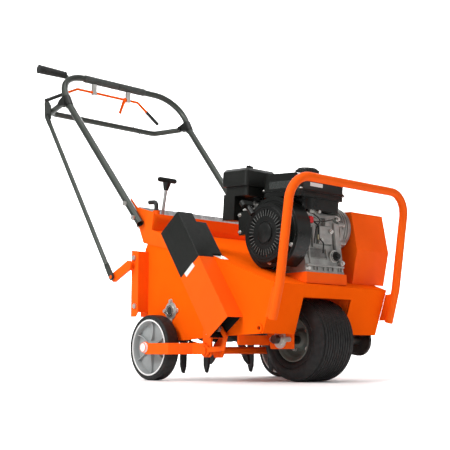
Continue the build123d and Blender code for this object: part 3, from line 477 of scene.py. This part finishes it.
stand_for(built("depth_knob_head", BLACK_PLASTIC, "depth_knob", knob_shape, 0.6 * MM), "depth_knob")
refine("fuel_tank", BLACK_PAINT, 1.0 * MM)
refine("fuel_cap", BLACK_PLASTIC, 2.0 * MM, 3)
refine("air_cleaner", BLACK_PLASTIC, 1.5 * MM, 3)
keep("assist_spring", STEEL)
keep("drive_belt", TYRE)
keep("drive_chains", DARK_STEEL)

# ---------------------------------------------------------------- tubes
RIGHT_LEG = [(-258, 148, 503), (-285, 575, 992), (-290, 662, 1141)]
LEFT_LEG = [(-x, y, z) for x, y, z in reversed(RIGHT_LEG)]
stand_for(pipe("handlebar_tube", RIGHT_LEG + LEFT_LEG, [120, 115, 115, 120], 12.7, TUBE_GREY, "frame",
               wall=2.2), "handlebar")
for node, x0, x1 in (("sleeve_right", -171, -18), ("sleeve_left", -14, 112)):
    ridges = [(x0, 12.75), (x0, 14.6)]
    x = x0 + 3
    while x < x1 - 3:
        ridges += [(x, 15.0), (x + 1.6, 15.0), (x + 2.0, 14.6), (x + 3.2, 14.6)]
        x += 3.6
    sleeve = lathe(node, ridges + [(x1, 14.6), (x1, 12.75)], at(0, 662, 1141), "frame", SLEEVE, 40)
    stand_for(sleeve, "handlebar_sleeves")
ROLL_RIGHT = [(-248, -462, 175), (-248, -492, 273), (-248, -541, 565)]
ROLL_LEFT = [(-x, y, z) for x, y, z in reversed(ROLL_RIGHT)]
stand_for(pipe("roll_bar_tube", ROLL_RIGHT + ROLL_LEFT, [60, 70, 70, 60], 12.7, ORANGE, "frame", wall=2.2),
          "roll_bar")


def roll_ears(bm):
    for side in (-1, 1):
        ear = [(-431, 182), (-452, 182), (-480, 262), (-459, 262)]
        faces = []
        for x in (240.2, 245.6):
            faces.append([bm.verts.new(at(x * side, y, z)) for y, z in ear])
        bm.faces.new(faces[0])
        bm.faces.new(faces[1][::-1])
        for k in range(4):
            j = (k + 1) % 4
            bm.faces.new([faces[0][k], faces[0][j], faces[1][j], faces[1][k]])


built("roll_bar_ears", ORANGE, "frame", roll_ears, 0.8 * MM)

stand_for(pipe("lift_bail_tube", [(-287, 632, 1008), (-287, 718, 993), (205, 718, 993), (287, 636, 1008)],
               [26, 40], 11, TUBE_GREY, "bail", wall=2.0), "lift_bail")


def bail_fittings(bm):
    plate = [(688, 1013), (704, 1033), (728, 1041), (736, 1035), (732, 987), (720, 967), (694, 959), (684, 963)]
    faces = []
    for x in (-303, -298):
        faces.append([bm.verts.new(at(x, y, z)) for y, z in plate])
    bm.faces.new(faces[0])
    bm.faces.new(faces[1][::-1])
    for k in range(len(plate)):
        j = (k + 1) % len(plate)
        bm.faces.new([faces[0][k], faces[0][j], faces[1][j], faces[1][k]])
    add_rod(bm, at(-303, 704, 976), at(-314, 704, 976), 6 * MM)
    for side in (-1, 1):
        for x in (276, 290):
            add_rod(bm, at(x * side, 624, 1009), at((x + 7) * side, 624, 1009), 12 * MM, 32)


built("bail_fittings", TUBE_GREY, "bail", bail_fittings, 0.8 * MM)

clutch_line = [(-323, 686, 1029), (-204, 660, 1092), (80, 660, 1092), (199, 686, 1029)]
stand_for(pipe("clutch_bar_rod", clutch_line, [20, 20], 5, ORANGE, "clutch_bar"), "clutch_bar")


def clutch_lever(bm):
    arm = [(651, 1098), (666, 1101), (699, 1045), (688, 1038), (651, 1086)]
    faces = []
    for x in (14, 18):
        faces.append([bm.verts.new(at(x, y, z)) for y, z in arm])
    bm.faces.new(faces[0])
    bm.faces.new(faces[1][::-1])
    for k in range(len(arm)):
        j = (k + 1) % len(arm)
        bm.faces.new([faces[0][k], faces[0][j], faces[1][j], faces[1][k]])


built("clutch_lever", ORANGE, "clutch_bar", clutch_lever, 0.8 * MM)


def grip_tube(name, knee, tip):
    way = (at(*tip) - at(*knee)).normalized()
    start, end = at(*tip) - way * 0.078, at(*tip) + way * 0.004

    def draw(bm):
        steps = 13
        for step in range(steps):
            a = start.lerp(end, step / steps)
            b = start.lerp(end, (step + 0.82) / steps)
            add_rod(bm, a, b, 7.0 * MM, 28)
        add_rod(bm, start, end, 6.5 * MM, 28)
    return built(name, GRIP, "clutch_bar", draw, 0.6 * MM, 40)


for side, knee, tip in (("right", clutch_line[1], clutch_line[0]), ("left", clutch_line[2], clutch_line[3])):
    stand_for(grip_tube("clutch_grip_" + side, knee, tip), "clutch_bar_grips")
stand_for(pipe("clutch_cable_line", [(20.5, 690, 1047), (12, 408, 806), (4, 128, 565)], [900], 1.4, BLACK_PLASTIC,
               "clutch_cable", 12), "clutch_cable")
stand_for(pipe("latch_elbow", [(-220, 112, 507), (-220, 112, 574), (-220, 150, 578)], [14], 7.5, GRIP,
               "latch_lever"), "latch_lever")

# ---------------------------------------------------------------- side grip
grip = [(0, 0.01), (0, 13), (-2, 14.2), (-6, 14.4)]
for step in range(22):
    x = -8 - step * 4.6
    r = 14.0 + 2.4 * step / 21
    grip += [(x, r), (x - 2.6, r), (x - 3.2, r - 0.7), (x - 4.0, r - 0.7)]
grip += [(-112, 16.4), (-114, 17.4), (-117, 17.4), (-118, 15.5), (-118, 0.01)]
stand_for(lathe("side_grip_rubber", [(x - 239, r) for x, r in grip], at(0, 690, 1147), "frame", GRIP, 48),
          "side_grip")
built("side_grip_stub", TUBE_GREY, "frame",
      lambda bm: add_rod(bm, at(-238, 660, 1122), at(-238, 690, 1147), 7 * MM, 24), 0.4 * MM)

# ---------------------------------------------------------------- front drive wheel
centre = at(0, -359, 122.3)
R, half = 122.3, 75.0
outline = [(-half + 12, 65)]
outline += [(-half + 5, 68), (-half + 2, 74), (-half + 1.2, 82), (-half + 2.4, 83), (-half + 1.2, 84),
            (-half, 92), (-half + 0.8, 98), (-half + 3, 104), (-half + 6.5, 109.5)]
ribs, pitch = 13, (2 * half - 18) / 13
for rib in range(ribs):
    x = -half + 9 + pitch * (rib + 0.5)
    droop = max(0.0, abs(x) - half + 26) ** 2 * 0.020
    top = R - droop
    w = 3.5
    outline += [(x - w - 0.8, top - 5.5), (x - w, top - 1.2), (x - w + 1.0, top - 0.1), (x + w - 1.0, top - 0.1),
                (x + w, top - 1.2), (x + w + 0.8, top - 5.5)]
outline += [(-x, r) for x, r in reversed(outline[:10])]
stand_for(lathe("front_tyre_tread", outline, centre, BODY["front_tyre"], TYRE, 144, smooth=50), "front_tyre")
rim = [(-half + 12, 64.8), (-half + 7, 65.2), (-half + 6, 63), (-half + 8, 60), (-half + 13, 58),
       (-half + 17, 56), (-half + 20, 52), (-52, 50), (-38, 47), (-33, 42), (-31, 34), (-35, 28), (-44, 25),
       (-46, 22), (-46, 12.6), (46, 12.6), (46, 22), (44, 25), (35, 28), (31, 34), (33, 42), (38, 47), (52, 50),
       (half - 20, 52), (half - 17, 56), (half - 13, 58), (half - 8, 60), (half - 6, 63), (half - 7, 65.2),
       (half - 12, 64.8)]
stand_for(lathe("front_rim_pressing", rim, centre, BODY["front_rim"], RIM_PAINT, 96), "front_rim")


def rim_bolts(bm):
    for side in (-1, 1):
        for step in range(4):
            a = math.radians(45 + 90 * step)
            spot = at(31.5 * side, -359 + 38 * math.cos(a), 122.3 + 38 * math.sin(a))
            hexagon(bm, spot, Vector((side, 0, 0)), 12, 5, 18)


built("front_rim_bolts", STEEL, BODY["front_rim"], rim_bolts, 0.4 * MM)

# ---------------------------------------------------------------- rear wheels
for side, name in ((-1, "right"), (1, "left")):
    centre = at(0, 34, 100)
    body = "rear_wheel_" + name
    tread = [(257.2, 86), (255.6, 88), (255, 92), (256, 96), (258.5, 98.6), (262, 99.8), (268, 100), (290, 100),
             (296, 99.8), (299.5, 98.6), (302, 96), (303, 92), (302.4, 88), (300.8, 86)]
    stand_for(lathe("rear_tread_" + name, [(x * side, r) for x, r in tread], centre, body, TYRE, 120, smooth=50),
              "rear_tyre_" + name)
    ring = [(301.4, 85.9), (302.2, 85.0), (302.2, 82.2), (301.2, 81.4), (257.0, 81.4), (256.2, 82.2), (256.2, 85),
            (257, 85.9)]
    stand_for(lathe("rear_white_ring_" + name, [(x * side, r) for x, r in ring], centre, body, WHITE_PLASTIC, 120),
              "rear_rim_" + name)
    barrel = [(300.8, 81.3), (299, 79.5), (286, 78.2), (281.5, 77.5), (281, 22), (291, 20), (299, 18.5),
              (302.8, 17), (302.8, 8.1), (255.2, 8.1), (255.2, 17), (262, 20), (277.5, 22), (277, 77.5),
              (272, 78.2), (258.5, 79.5), (257.6, 81.3)]
    stand_for(lathe("rear_barrel_" + name, [(x * side, r) for x, r in barrel], centre, body, WHEEL_PLASTIC, 120),
              "rear_rim_" + name)

    def spokes(bm):
        for step in range(6):
            turn = Matrix.Translation(centre) @ Matrix.Rotation(math.radians(60 * step + 30), 4, "X")
            for face in (-1, 1):
                profile = [(18, 16.5), (30, 11.5), (52, 9.0), (70, 10.5), (79.5, 14.5)]
                x_mid = 279 * side
                rows = []
                for y, lift in profile:
                    bow = math.sin((y - 18) / 61.5 * math.pi) * 3.0
                    rows.append([bm.verts.new(turn @ Vector(((x_mid + face * depth) * MM, y * MM,
                                                             (bow + wide) * MM)))
                                 for depth, wide in ((1.0, -2.6), (lift, -1.9), (lift, 1.9), (1.0, 2.6))])
                for a, b in zip(rows, rows[1:]):
                    for k in range(4):
                        j = (k + 1) % 4
                        bm.faces.new([a[k], a[j], b[j], b[k]])
                bm.faces.new(rows[0])
                bm.faces.new(rows[-1])
    stand_for(built("rear_spokes_" + name, WHEEL_PLASTIC, body, spokes, 0.8 * MM), "rear_rim_" + name)
    cap = [(315.1, 0.01), (323.1, 0.01), (323.1, 12.8), (322.2, 14.6), (320.6, 15.4), (315.1, 15.8)]
    cap = lathe("hub_cap_" + name, [(x * side, r) for x, r in cap], centre, "wheel_carriage", WHITE_PLASTIC, 48)

# ---------------------------------------------------------------- engine castings
def face_y(z):
    """Front of the crankcase at height z."""
    knots = [(314, -440), (345, -440), (400, -428), (494, -424)]
    for (z0, y0), (z1, y1) in zip(knots, knots[1:]):
        if z <= z1:
            return y0 + (y1 - y0) * (z - z0) / (z1 - z0)
    return -424


def pad(bm, x0, x1, z0, z1, out, inset=0.0):
    """Raised pad on the crankcase's front with drafted sides."""
    low = [bm.verts.new(at(x, face_y(z) + 2, z)) for x, z in ((x0, z0), (x1, z0), (x1, z1), (x0, z1))]
    d = inset
    top = [bm.verts.new(at(x, face_y(z) - out, z))
           for x, z in ((x0 + d, z0 + d), (x1 - d, z0 + d), (x1 - d, z1 - d), (x0 + d, z1 - d))]
    bm.faces.new(low)
    bm.faces.new(top)
    for k in range(4):
        j = (k + 1) % 4
        bm.faces.new([low[k], low[j], top[j], top[k]])


def crankcase_ribs(bm):
    pad(bm, -93, 68, 331, 339, 7, 1.5)
    pad(bm, -93, 66, 476, 492, 6, 2.0)
    pad(bm, -90, -62, 402, 440, 10, 3.0)
    pad(bm, -34, 30, 398, 458, 9, 4.0)
    pad(bm, 38, 64, 352, 470, 6, 2.5)
    pad(bm, -56, -40, 388, 478, 5, 1.5)
    pad(bm, -78, -72, 340, 478, 4, 1.0)
    for x in (-60, -46, -20, 0, 20, 44, 56):
        pad(bm, x, x + 4, 318, 333, 5, 0.8)
    pad(bm, -8, 12, 452, 480, 13, 3.0)
    for z0, z1 in ((355, 358.5), (385, 388.5)):
        pad(bm, -80, 0, z0, z1, 5, 0.8)
    for x0, x1 in ((-80, -76.5), (-3.5, 0)):
        pad(bm, x0, x1, 355, 388.5, 5, 0.8)
    for x, z, r in ((29, 366, 17), (-68, 455, 10), (20, 440, 8), (-26, 412, 8), (52, 480, 9), (52, 346, 9),
                    (-84, 484, 8)):
        y = face_y(z)
        add_rod(bm, at(x, y + 2, z), at(x, y - 12, z), r * MM, 24, (r - 1.5) * MM)


built("crankcase_ribs", CAST_SILVER, "frame", crankcase_ribs, 1.0 * MM)
built("crankcase_plate", CAST_DARK, "frame", lambda bm: pad(bm, -76.5, -3.5, 358.5, 385, 0.8, 0.3), 0.2 * MM)


def crankcase_bolts(bm):
    for x, z, across in ((20, 440, 9), (-26, 412, 9), (52, 480, 9), (52, 346, 10), (-84, 484, 8), (-68, 455, 11)):
        hexagon(bm, at(x, face_y(z) - 12, z), Vector((0, -1, 0)), across, 5, across * 1.6)
    hexagon(bm, at(-84, -440, 325), Vector((0, -1, 0)), 11, 6, 16)
    for x, y in ((-89, -441), (61, -441)):
        hexagon(bm, at(x, y, 321), Vector((0, 0, 1)), 8, 5, 6)


built("crankcase_bolts", STEEL, "frame", crankcase_bolts, 0.3 * MM)


def oil_plug(bm):
    add_rod(bm, at(29, -440, 366), at(29, -452, 366), 14 * MM, 32, 12.5 * MM)
    hexagon(bm, at(29, -452, 366), Vector((0, -1, 0)), 15, 8)
    for step in range(12):
        a = math.tau * step / 12
        spot = (29 + 13.4 * math.cos(a), 366 + 13.4 * math.sin(a))
        add_rod(bm, at(spot[0], -440, spot[1]), at(spot[0], -450.5, spot[1]), 1.6 * MM, 8)


built("oil_plug", BLACK_PLASTIC, "frame", oil_plug, 0.5 * MM)
built("dipstick_collar", STEEL, "frame",
      lambda bm: add_rod(bm, at(29, -437, 366), at(29, -442.5, 366), 19 * MM, 32), 0.6 * MM)
for name, line, r in (("stop_lead", [(-70, -440, 470), (-48, -452, 450), (-46, -450, 415), (-28, -452, 400),
                                     (-25, -446, 372)], 2.2),
                      ("coil_lead", [(-60, -432, 492), (-34, -448, 470), (-58, -450, 440), (-62, -446, 398)], 1.8),
                      ("oil_lead", [(-90, -446, 462), (-58, -449, 462), (-10, -447, 468), (24, -442, 476)], 1.5)):
    pipe(name, line, [12] * (len(line) - 2), r, BLACK_PLASTIC, "frame", 14)
pipe("oil_lead_marker", [(-50, -450.2, 424), (-49, -450.4, 410)], [], 2.6, YELLOW_ZINC, "frame", 14)


def lead_bracket(bm):
    add_box(bm, (-72, -440, 488), (-36, -428, 498))
    add_box(bm, (-60, -441, 495), (-44, -438, 512))
    add_rod(bm, at(-66, -438, 488), at(-66, -438, 505), 4 * MM, 16)
    add_rod(bm, at(-42, -434, 492), at(-42, -452, 492), 5 * MM, 16)
    add_rod(bm, at(-68, -437, 478), at(-80, -437, 478), 4 * MM, 16)


built("lead_bracket", STEEL, "frame", lead_bracket, 0.5 * MM)


def gear_cover(bm):
    """Bolt bosses and ribs of the reduction case."""
    for step in range(8):
        a = math.radians(45 * step + 20)
        y, z = -359 + 73 * math.cos(a), 436 + 73 * math.sin(a)
        if z > 366 and y < -288:
            add_rod(bm, at(60, y, z), at(86, y, z), 8 * MM, 20, 7 * MM)
    for x in (86, 97, 108):
        ring = []
        for step in range(73):
            a = math.tau * step / 72
            ring.append((-359 + 66 * math.cos(a), 462 + 66 * math.sin(a), math.cos(a), math.sin(a)))
        for p0, p1 in zip(ring, ring[1:]):
            quad = []
            for y, z, c, s in (p0, p1):
                quad.append([bm.verts.new(at(x, y - c, z - s)), bm.verts.new(at(x, y + c * 3.5, z + s * 3.5)),
                             bm.verts.new(at(x + 3.4, y + c * 3.5, z + s * 3.5)),
                             bm.verts.new(at(x + 3.4, y - c, z - s))])
            for k in range(3):
                bm.faces.new([quad[0][k], quad[0][k + 1], quad[1][k + 1], quad[1][k]])
    bmesh.ops.remove_doubles(bm, verts=bm.verts, dist=1e-6)


built("gear_cover_ribs", CAST_SILVER, "frame", gear_cover, 0.7 * MM)


def gear_cover_bolts(bm):
    for step in range(8):
        a = math.radians(45 * step + 20)
        y, z = -359 + 73 * math.cos(a), 436 + 73 * math.sin(a)
        if z > 366 and y < -288:
            hexagon(bm, at(86, y, z), Vector((1, 0, 0)), 9, 5, 13)
    for step in range(6):
        a = math.radians(60 * step + 12)
        hexagon(bm, at(125, -359 + 52 * math.cos(a), 462 + 52 * math.sin(a)), Vector((1, 0, 0)), 8, 4, 12)


built("gear_cover_bolts", STEEL, "frame", gear_cover_bolts, 0.3 * MM)


def shroud_bolts(bm):
    for y, z in ((-352, 343), (-440, 388), (-436, 478), (-270, 392)):
        hexagon(bm, at(-150, y, z), Vector((-1, 0, 0)), 9, 5, 14)
    for y, z in ((-222, 498), (-222, 446)):
        hexagon(bm, at(-150, y, z), Vector((-1, 0, 0)), 8, 4, 12)


built("shroud_bolts", STEEL, "frame", shroud_bolts, 0.3 * MM)


def shroud_rim(bm):
    """Rolled rim and stiffening bead of the blower housing."""
    radius, x, tube_r = 97.5, -150, 1.8
    count, sides = 96, 10
    rings = []
    for step in range(count):
        a = math.tau * step / count
        y, z = -359 + radius * math.cos(a), 428 + radius * math.sin(a)
        rings.append([bm.verts.new(at(x + tube_r * math.cos(b), y + tube_r * math.sin(b) * math.cos(a),
                                      z + tube_r * math.sin(b) * math.sin(a)))
                      for b in np.linspace(0, math.tau, sides, endpoint=False)] if z > 342 else None)
    for k in range(count):
        a, b = rings[k], rings[(k + 1) % count]
        if a and b:
            for i in range(sides):
                j = (i + 1) % sides
                bm.faces.new([a[i], a[j], b[j], b[i]])


built("shroud_bead", BLACK_PAINT, "frame", shroud_rim, 0, 60)
disc = [(-179.6, 0.01), (-180.1, 0.5), (-180.1, 26.5), (-179.6, 27.5), (-179.0, 27.5), (-179.0, 0.01)]
lathe("recoil_badge", disc, at(0, -359, 428), "frame", COVER_PLASTIC, 72)
# Lighter grey for the recoil cover's vane edges: a painted highlight.
FIN_HIGHLIGHT_GREY = plastic("grey fin edge painted highlight", (0.14, 0.145, 0.14), (0.09, 0.095, 0.09), (0.3, 0.42), 900, 0.1)


def recoil_fin_highlights(bm):
    """Lighter grey strips on the cover's radial vanes: painted highlights standing in for light caught on the vane
    edges.
    """
    for step in range(36):
        a = math.tau * (step + 0.5) / 36
        way, side = Vector((0, math.cos(a), math.sin(a))), Vector((0, -math.sin(a), math.cos(a)))
        inner, outer = at(-176, -359, 428) + way * 49 * MM, at(-176, -359, 428) + way * 66 * MM
        wide = side * 0.8 * MM
        low = [bm.verts.new(p) for p in (inner - wide, outer - wide, outer + wide, inner + wide)]
        high = [bm.verts.new(v.co + Vector((-0.9 * MM, 0, 0))) for v in low]
        bm.faces.new(low)
        bm.faces.new(high[::-1])
        for k in range(4):
            j = (k + 1) % 4
            bm.faces.new([low[k], low[j], high[j], high[k]])


built("recoil_fin_highlights", FIN_HIGHLIGHT_GREY, "frame", recoil_fin_highlights, 0.2 * MM)
for radius in (76.5, 34):
    bead = [(-175.0, radius - 1.6), (-176.4, radius - 0.8), (-176.6, radius),
            (-176.4, radius + 0.8), (-175.0, radius + 1.6), (-174.4, radius)]
    lathe("recoil_ring_%d" % radius, bead, at(0, -359, 428), "frame", COVER_PLASTIC, 96)


def control_parts(bm):
    """Bright levers, screws and springs beside the carburettor."""
    add_box(bm, (-150, -300, 509), (-122, -262, 511.5))
    add_box(bm, (-150, -300, 511), (-147.5, -268, 522))
    add_box(bm, (-140, -276, 511), (-128, -273, 528))
    add_rod(bm, at(-140, -292, 511), at(-140, -292, 524), 5 * MM, 20)
    add_rod(bm, at(-130, -282, 511), at(-130, -282, 519), 6 * MM, 6)
    add_rod(bm, at(-152, -284, 516), at(-128, -284, 516), 2.2 * MM, 16)
    add_rod(bm, at(-128, -262, 519), at(-118, -228, 526), 1.3 * MM, 12)
    add_rod(bm, at(-146, -262, 513), at(-108, -205, 508), 1.3 * MM, 12)


built("control_parts", STEEL, "frame", control_parts, 0.3 * MM)


def intake(bm):
    """Black elbow and choke plate between air cleaner and carburettor."""
    add_box(bm, (-102, -232, 538), (-66, -166, 561))
    add_rod(bm, at(-84, -236, 530), at(-84, -236, 560), 17 * MM, 28)
    add_rod(bm, at(-102, -250, 535), at(-78, -250, 535), 9 * MM, 24)


built("intake_elbow", BLACK_PLASTIC, "frame", intake, 1.5 * MM)


def coil(name, start, end, radius, wire, turns, material):
    way = end - start
    place = Matrix.Translation(start) @ way.to_track_quat("Z", "Y").to_matrix().to_4x4()
    bm = bmesh.new()
    rings, steps, sides = [], int(turns * 14), 8
    for step in range(steps + 1):
        a = math.tau * turns * step / steps
        c = Vector((radius * math.cos(a), radius * math.sin(a), way.length * step / steps))
        out = Vector((math.cos(a), math.sin(a), 0))
        rings.append([bm.verts.new(place @ (c + (out * math.cos(b) + Vector((0, 0, 1)) * math.sin(b)) * wire))
                      for b in np.linspace(0, math.tau, sides, endpoint=False)])
    for a, b in zip(rings, rings[1:]):
        for i in range(sides):
            j = (i + 1) % sides
            bm.faces.new([a[i], a[j], b[j], b[i]])
    bm.faces.new(rings[0])
    bm.faces.new(rings[-1])
    bmesh.ops.recalc_face_normals(bm, faces=bm.faces)
    return finish_piece(link_mesh(name, bm), name, material, "frame", 60)


coil("governor_spring", at(-146, -262, 513), at(-136, -224, 515), 3.4 * MM, 0.6 * MM, 13, STEEL)
coil("idle_spring", at(-122, -300, 514), at(-112, -262, 520), 2.6 * MM, 0.5 * MM, 12, STEEL)


def plug_cap(bm):
    add_rod(bm, at(-12, -196, 446), at(-12, -168, 452), 9 * MM, 24)
    add_rod(bm, at(-12, -170, 451), at(-12, -166, 478), 8 * MM, 24)


built("plug_cap", BLACK_PLASTIC, "frame", plug_cap, 1.2 * MM)
pipe("plug_lead", [(-12, -166, 478), (-12, -160, 500), (-60, -168, 505), (-100, -208, 500)], [14, 14], 3.4,
     BLACK_PLASTIC, "frame", 16)


# ---------------------------------------------------------------- tank, cap and air cleaner
TIP = Matrix.Translation(at(0, -360, 503)) @ Matrix.Rotation(math.radians(4.5), 4, "X") \
    @ Matrix.Translation(-at(0, -360, 503))


def tipped(draw):
    def turned(bm):
        draw(bm)
        bmesh.ops.transform(bm, matrix=TIP, verts=bm.verts)
    return turned


def cap_ribs(bm):
    for step in range(28):
        a = math.tau * step / 28
        x, y = -26 + 34.6 * math.cos(a), -378 + 34.6 * math.sin(a)
        add_rod(bm, at(x, y, 614), at(x, y, 629), 2.0 * MM, 8, 1.7 * MM)


built("cap_ribs", BLACK_PLASTIC, "fuel_cap", tipped(cap_ribs), 0.3 * MM)
LABEL_DARK = plastic("dark label", (0.03, 0.034, 0.032), (0.04, 0.044, 0.042), (0.2, 0.3), 900, 0.03)
LABEL_WHITE = plastic("white label", (0.72, 0.72, 0.70), (0.66, 0.66, 0.64), (0.3, 0.4), 900, 0.03)
built("tank_side_label", LABEL_DARK, "frame",
      tipped(lambda bm: add_box(bm, (-130.6, -426, 562), (-129.9, -326, 584))), 0.2 * MM)
built("tank_front_label", LABEL_WHITE, "frame",
      tipped(lambda bm: add_box(bm, (-92, -457.7, 569), (-40, -456.9, 580))), 0.2 * MM)


def seam_bolts(bm):
    for x, y in ((-124, -452), (52, -452), (-124, -298), (52, -298)):
        hexagon(bm, at(x, y, 558), Vector((0, 0, 1)), 8, 3, 12)


built("tank_seam_bolts", STEEL, "frame", tipped(seam_bolts), 0.3 * MM)


# ---------------------------------------------------------------- guard's painted interior shade, labels, bearing faces
def leaning(along, across):
    lean = math.radians(35.4)
    return (-61 - math.sin(lean) * along + math.cos(lean) * across,
            480 - math.cos(lean) * along - math.sin(lean) * across)


def prism(bm, outline, x0, x1):
    a = [bm.verts.new(at(x0, y, z)) for y, z in outline]
    b = [bm.verts.new(at(x1, y, z)) for y, z in outline]
    bm.faces.new(a)
    bm.faces.new(b[::-1])
    for k in range(len(a)):
        j = (k + 1) % len(a)
        bm.faces.new([a[k], a[j], b[j], b[k]])


# Black sheets inside the right guard's open lower part: painted shade standing in for the guard's dark interior.
def guard_painted_shade(bm):
    for n0, n1 in ((-49.4, -48.4), (48.4, 49.4)):
        prism(bm, [leaning(184, n0), leaning(184, n1), leaning(397, n1), leaning(397, n0)], -295.3, -242)
    prism(bm, [leaning(184, -49), leaning(184, 49), leaning(397, 49), leaning(397, -49)], -295.3, -294.3)
    prism(bm, [leaning(240, -49), leaning(240, 49), leaning(394, 49), leaning(394, -49)], -241.2, -240.4)


built("guard_painted_shade", BLACK_SEAL_AND_PAINTED_SHADE, "frame", guard_painted_shade, 0)


def guard_label(bm):
    prism(bm, [(-139, 317), (-150, 306), (-188, 336), (-178, 347)], -298.4, -297.8)


built("guard_label", LABEL_WHITE, "frame", guard_label, 0)


def deck_label(bm):
    """Plain plate stuck near the deck's right edge."""
    def deck(x, y, up):
        return at(x, y, 275 + (y + 464) * 203 / 569 + up)
    corners = [(-232, -128), (-232, -232), (-205, -232), (-190, -190), (-205, -128)]
    a = [bm.verts.new(deck(x, y, 0.1)) for x, y in corners]
    b = [bm.verts.new(deck(x, y, 0.6)) for x, y in corners]
    bm.faces.new(a)
    bm.faces.new(b[::-1])
    for k in range(5):
        j = (k + 1) % 5
        bm.faces.new([a[k], a[j], b[j], b[k]])


built("deck_label", LABEL_WHITE, "frame", deck_label, 0)
for side, name in ((-1, "right"), (1, "left")):
    face = [(247.05, 12.7), (247.6, 13.2), (247.6, 14.4), (247.2, 14.8), (247.05, 17.2)]
    ring = lathe("bearing_lip_" + name, [(x * side, r) for x, r in face], at(0, 0, 213), "frame", STEEL, 64)
    seal = [(247.1, 13.0), (247.5, 13.0), (247.5, 17.0), (247.1, 17.0)]
    ring = lathe("bearing_seal_" + name, [(x * side, r) for x, r in seal], at(0, 0, 213), "frame", BLACK_SEAL_AND_PAINTED_SHADE, 64)


def cap_panel(bm):
    """Raised moulded panel and rib on the guard cap's inner part."""
    for a0, a1, n0, n1 in ((44, 156, -46, -26), (44, 156, -18, 22)):
        prism(bm, [leaning(a0, n0), leaning(a0, n1), leaning(a1, n1), leaning(a1, n0)], -204.5, -201.2)


built("guard_cap_panel", BLACK_PLASTIC, "frame", cap_panel, 0.8 * MM)


# ---------------------------------------------------------------- set, light and camera
floor_mat = Maker("floor")
floor_mat.done(floor_mat.mix(floor_mat.noise(0.8, 2), (0.93, 0.93, 0.93), (0.95, 0.95, 0.95)), Roughness=0.7)
bm = bmesh.new()
depth, height, curve = 9.0, 7.0, 3.0
strip = [(-12.0, 0.0), (depth - curve, 0.0)]
strip += [(depth - curve + curve * math.sin(a), curve * (1 - math.cos(a)))
          for a in np.linspace(0.1, math.pi / 2, 16)]
strip += [(depth, height)]
HEADING, PITCH_UP = math.radians(-40.82), math.radians(8.31)
forward = Vector((-math.sin(HEADING), math.cos(HEADING), 0))
across = Vector((math.cos(HEADING), math.sin(HEADING), 0))
rows = []
for reach, up in strip:
    spot = Vector((DRUM.x, DRUM.y, 0)) + forward * reach
    rows.append([bm.verts.new(spot + across * w + Vector((0, 0, up))) for w in (-14, 14)])
for a, b in zip(rows, rows[1:]):
    bm.faces.new([a[0], a[1], b[1], b[0]])
sweep_set = link_mesh("backdrop", bm)
sweep_set.data.materials.append(floor_mat.mat)
sweep_set.data.shade_smooth()


def area(name, spot, target, size, power):
    data = bpy.data.lights.new(name, "AREA")
    data.shape = "RECTANGLE"
    data.size, data.size_y = size
    data.energy = power
    lamp = bpy.data.objects.new(name, data)
    bpy.context.scene.collection.objects.link(lamp)
    lamp.location = spot
    lamp.rotation_euler = (Vector(target) - Vector(spot)).to_track_quat("-Z", "Y").to_euler()


middle = (0, 0, 0.45)
area("key", (-3.4, -0.5, 2.8), middle, (1.6, 1.6), 140)
area("front_fill", (1.4, -3.6, 1.6), middle, (2.0, 1.6), 12)
area("top", (-0.4, -0.8, 4.4), middle, (2.4, 2.4), 62)
area("rear_rim", (2.8, 2.6, 2.2), middle, (2.0, 2.0), 30)
wall_spot = Vector((DRUM.x, DRUM.y, 0)) + forward * 7.5
for step, shift in enumerate((-3.0, 0.0, 3.0)):
    area("wall_%d" % step, wall_spot - forward * 2.2 + across * shift + Vector((0, 0, 5.5)),
         wall_spot + across * shift + Vector((0, 0, 1.6)), (2.5, 1.5), 260)
world = bpy.data.worlds.new("studio")
bpy.context.scene.world = world
world.use_nodes = True
sky = world.node_tree.nodes["Background"]
socket(sky, "Color", (1, 1, 1, 1))
socket(sky, "Strength", 0.36)
bpy.context.scene.view_settings.view_transform = "Standard"

camera = bpy.data.objects.new("camera", bpy.data.cameras.new("camera"))
bpy.context.scene.collection.objects.link(camera)
camera.data.sensor_width = 36.0
camera.data.lens = 68.68
look = forward * math.cos(PITCH_UP) + Vector((0, 0, math.sin(PITCH_UP)))
camera.location = at(-1871, -2145, 91)
camera.rotation_euler = look.to_track_quat("-Z", "Y").to_euler()
bpy.context.scene.camera = camera
